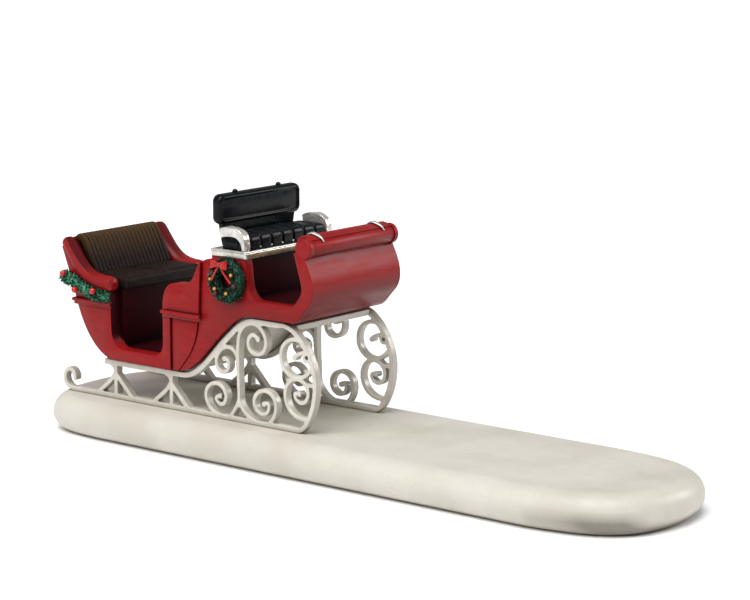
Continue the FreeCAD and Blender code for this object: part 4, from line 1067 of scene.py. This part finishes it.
def make_greenery():
    """Wreaths with their bows and berries, and the garland with its berries."""
    dark = needle_paint("fir_dark", dark=(0.003, 0.028, 0.014), light=(0.026, 0.165, 0.082),
                        frost=(0.30, 0.45, 0.38))
    fresh = needle_paint("fir_fresh", dark=(0.006, 0.060, 0.032), light=(0.100, 0.480, 0.280),
                         frost=(0.12, 0.42, 0.27))
    red = painted("ribbon_paint", base=(0.42, 0.010, 0.008), recess_shade=(0.06, 0.001, 0.001), gloss=0.3,
                  reach=0.8, Coat_Weight=0.15, Specular_IOR_Level=0.3)
    gold = painted("gold_bead_paint", base=(0.62, 0.30, 0.035), recess_shade=(0.12, 0.05, 0.01),
                   gloss=0.24, reach=0.5)
    cone = painted("cone_paint", base=(0.075, 0.022, 0.028), recess_shade=(0.01, 0.004, 0.005),
                   gloss=0.4, reach=0.4)
    for side, sign in SIDES.items():
        make_wreath(side, sign, dark)
        make_bow(side, sign, red)
        make_berries(side, sign, gold, cone)
    make_garland(fresh)
    berry = painted("berry_paint", base=(0.50, 0.012, 0.010), recess_shade=(0.08, 0.001, 0.001), gloss=0.2,
                    reach=0.5, Coat_Weight=0.4)
    balls = merged([globes(HOLLY, sign, HOLLY_RADIUS, count=FINE_COUNT) for sign in SIDES.values()])
    add_piece("holly_berries", balls, berry, ["garland_berries"])


def make_seats():
    """Both seats with their pads and trim."""
    bright = bright_paint()
    black = painted("black_paint", base=(0.0036, 0.0046, 0.0062), recess_shade=(0.001, 0.001, 0.0015),
                    gloss=0.25, reach=0.9, mottle=0.2, Specular_IOR_Level=0.14)
    brown = brown_paint()
    old_gold = painted("old_gold", base=(0.24, 0.165, 0.085), recess_shade=(0.04, 0.02, 0.01), gloss=0.34,
                       reach=0.8, mottle=0.2)
    make_driver_cushion(black)
    make_driver_backrest(black)
    make_driver_web(black)
    make_bench(brown)
    make_back_pad(brown)
    make_seat_trim(bright, black, old_gold)
    make_plaques(black)
    make_straps(bright)


# Stage, lights and camera.


def make_floor():
    """A wide plain floor."""
    mesh = bpy.data.meshes.new("floor")
    corners = [(x * FLOOR_HALF, y * FLOOR_HALF, 0) for x, y in ((-1, -1), (1, -1), (1, 1), (-1, 1))]
    mesh.from_pydata(corners, [], [(0, 1, 2, 3)])
    floor = add_object("floor", mesh)
    shader = Shader("floor_paper")
    mesh.materials.append(shader.finish((0.96, 0.96, 0.96), roughness=0.9, Specular_IOR_Level=0.1))


def point_lamp(name, light, place, aim):
    """Put a light at a place, turned to a point."""
    lamp = add_object(name, light)
    lamp.location = place
    lamp.rotation_euler = (Vector(aim) - Vector(place)).to_track_quat("-Z", "Y").to_euler()


def light_studio():
    """White surroundings, a wide high sun and soft boxes turned to the sleigh."""
    world = bpy.data.worlds.new("studio")
    bpy.context.scene.world = world
    world.use_nodes = True
    backdrop = world.node_tree.nodes["Background"]
    backdrop.inputs["Color"].default_value = (1.0, 1.0, 1.0, 1.0)
    backdrop.inputs["Strength"].default_value = SKY_STRENGTH
    sun = bpy.data.lights.new("high_light", "SUN")
    sun.energy = SUN_POWER
    sun.angle = SUN_ANGLE
    point_lamp("high_light", sun, SUN_PLACE, (0.0, 0.0, 0.0))
    for name, (place, size, power) in SOFTBOXES.items():
        light = bpy.data.lights.new(name, "AREA")
        light.size = size
        light.energy = power
        point_lamp(name, light, place, SOFTBOX_AIM)


def make_camera():
    """The photograph's camera."""
    a, e = CAMERA_AZIMUTH, CAMERA_ELEVATION
    back = Vector((math.sin(a) * math.cos(e), -math.cos(a) * math.cos(e), math.sin(e)))
    right = Vector((math.cos(a), math.sin(a), 0.0))
    up = back.cross(right)
    across = (AIM_PIXEL[0] - PHOTO_SIZE[0] / 2) / FOCAL_PIXELS
    above = (PHOTO_SIZE[1] / 2 - AIM_PIXEL[1]) / FOCAL_PIXELS
    data = bpy.data.cameras.new("camera")
    data.sensor_fit = "HORIZONTAL"
    data.sensor_width = SENSOR_WIDTH
    data.lens = FOCAL_PIXELS / PHOTO_SIZE[0] * SENSOR_WIDTH
    data.clip_start, data.clip_end = CLIP_START, CLIP_END
    camera = add_object("camera", data)
    place = AIM_POINT - AIM_DEPTH * (across * right + above * up - back)
    turn = Matrix((right, up, back)).transposed().to_4x4()
    camera.matrix_world = Matrix.Translation(place) @ turn
    bpy.context.scene.camera = camera


def main():
    """Build the whole scene."""
    bpy.context.scene.view_settings.view_transform = "Standard"
    make_camera()
    make_floor()
    light_studio()
    paint_body()
    make_runners()
    make_wings()
    make_seats()
    make_greenery()


main()
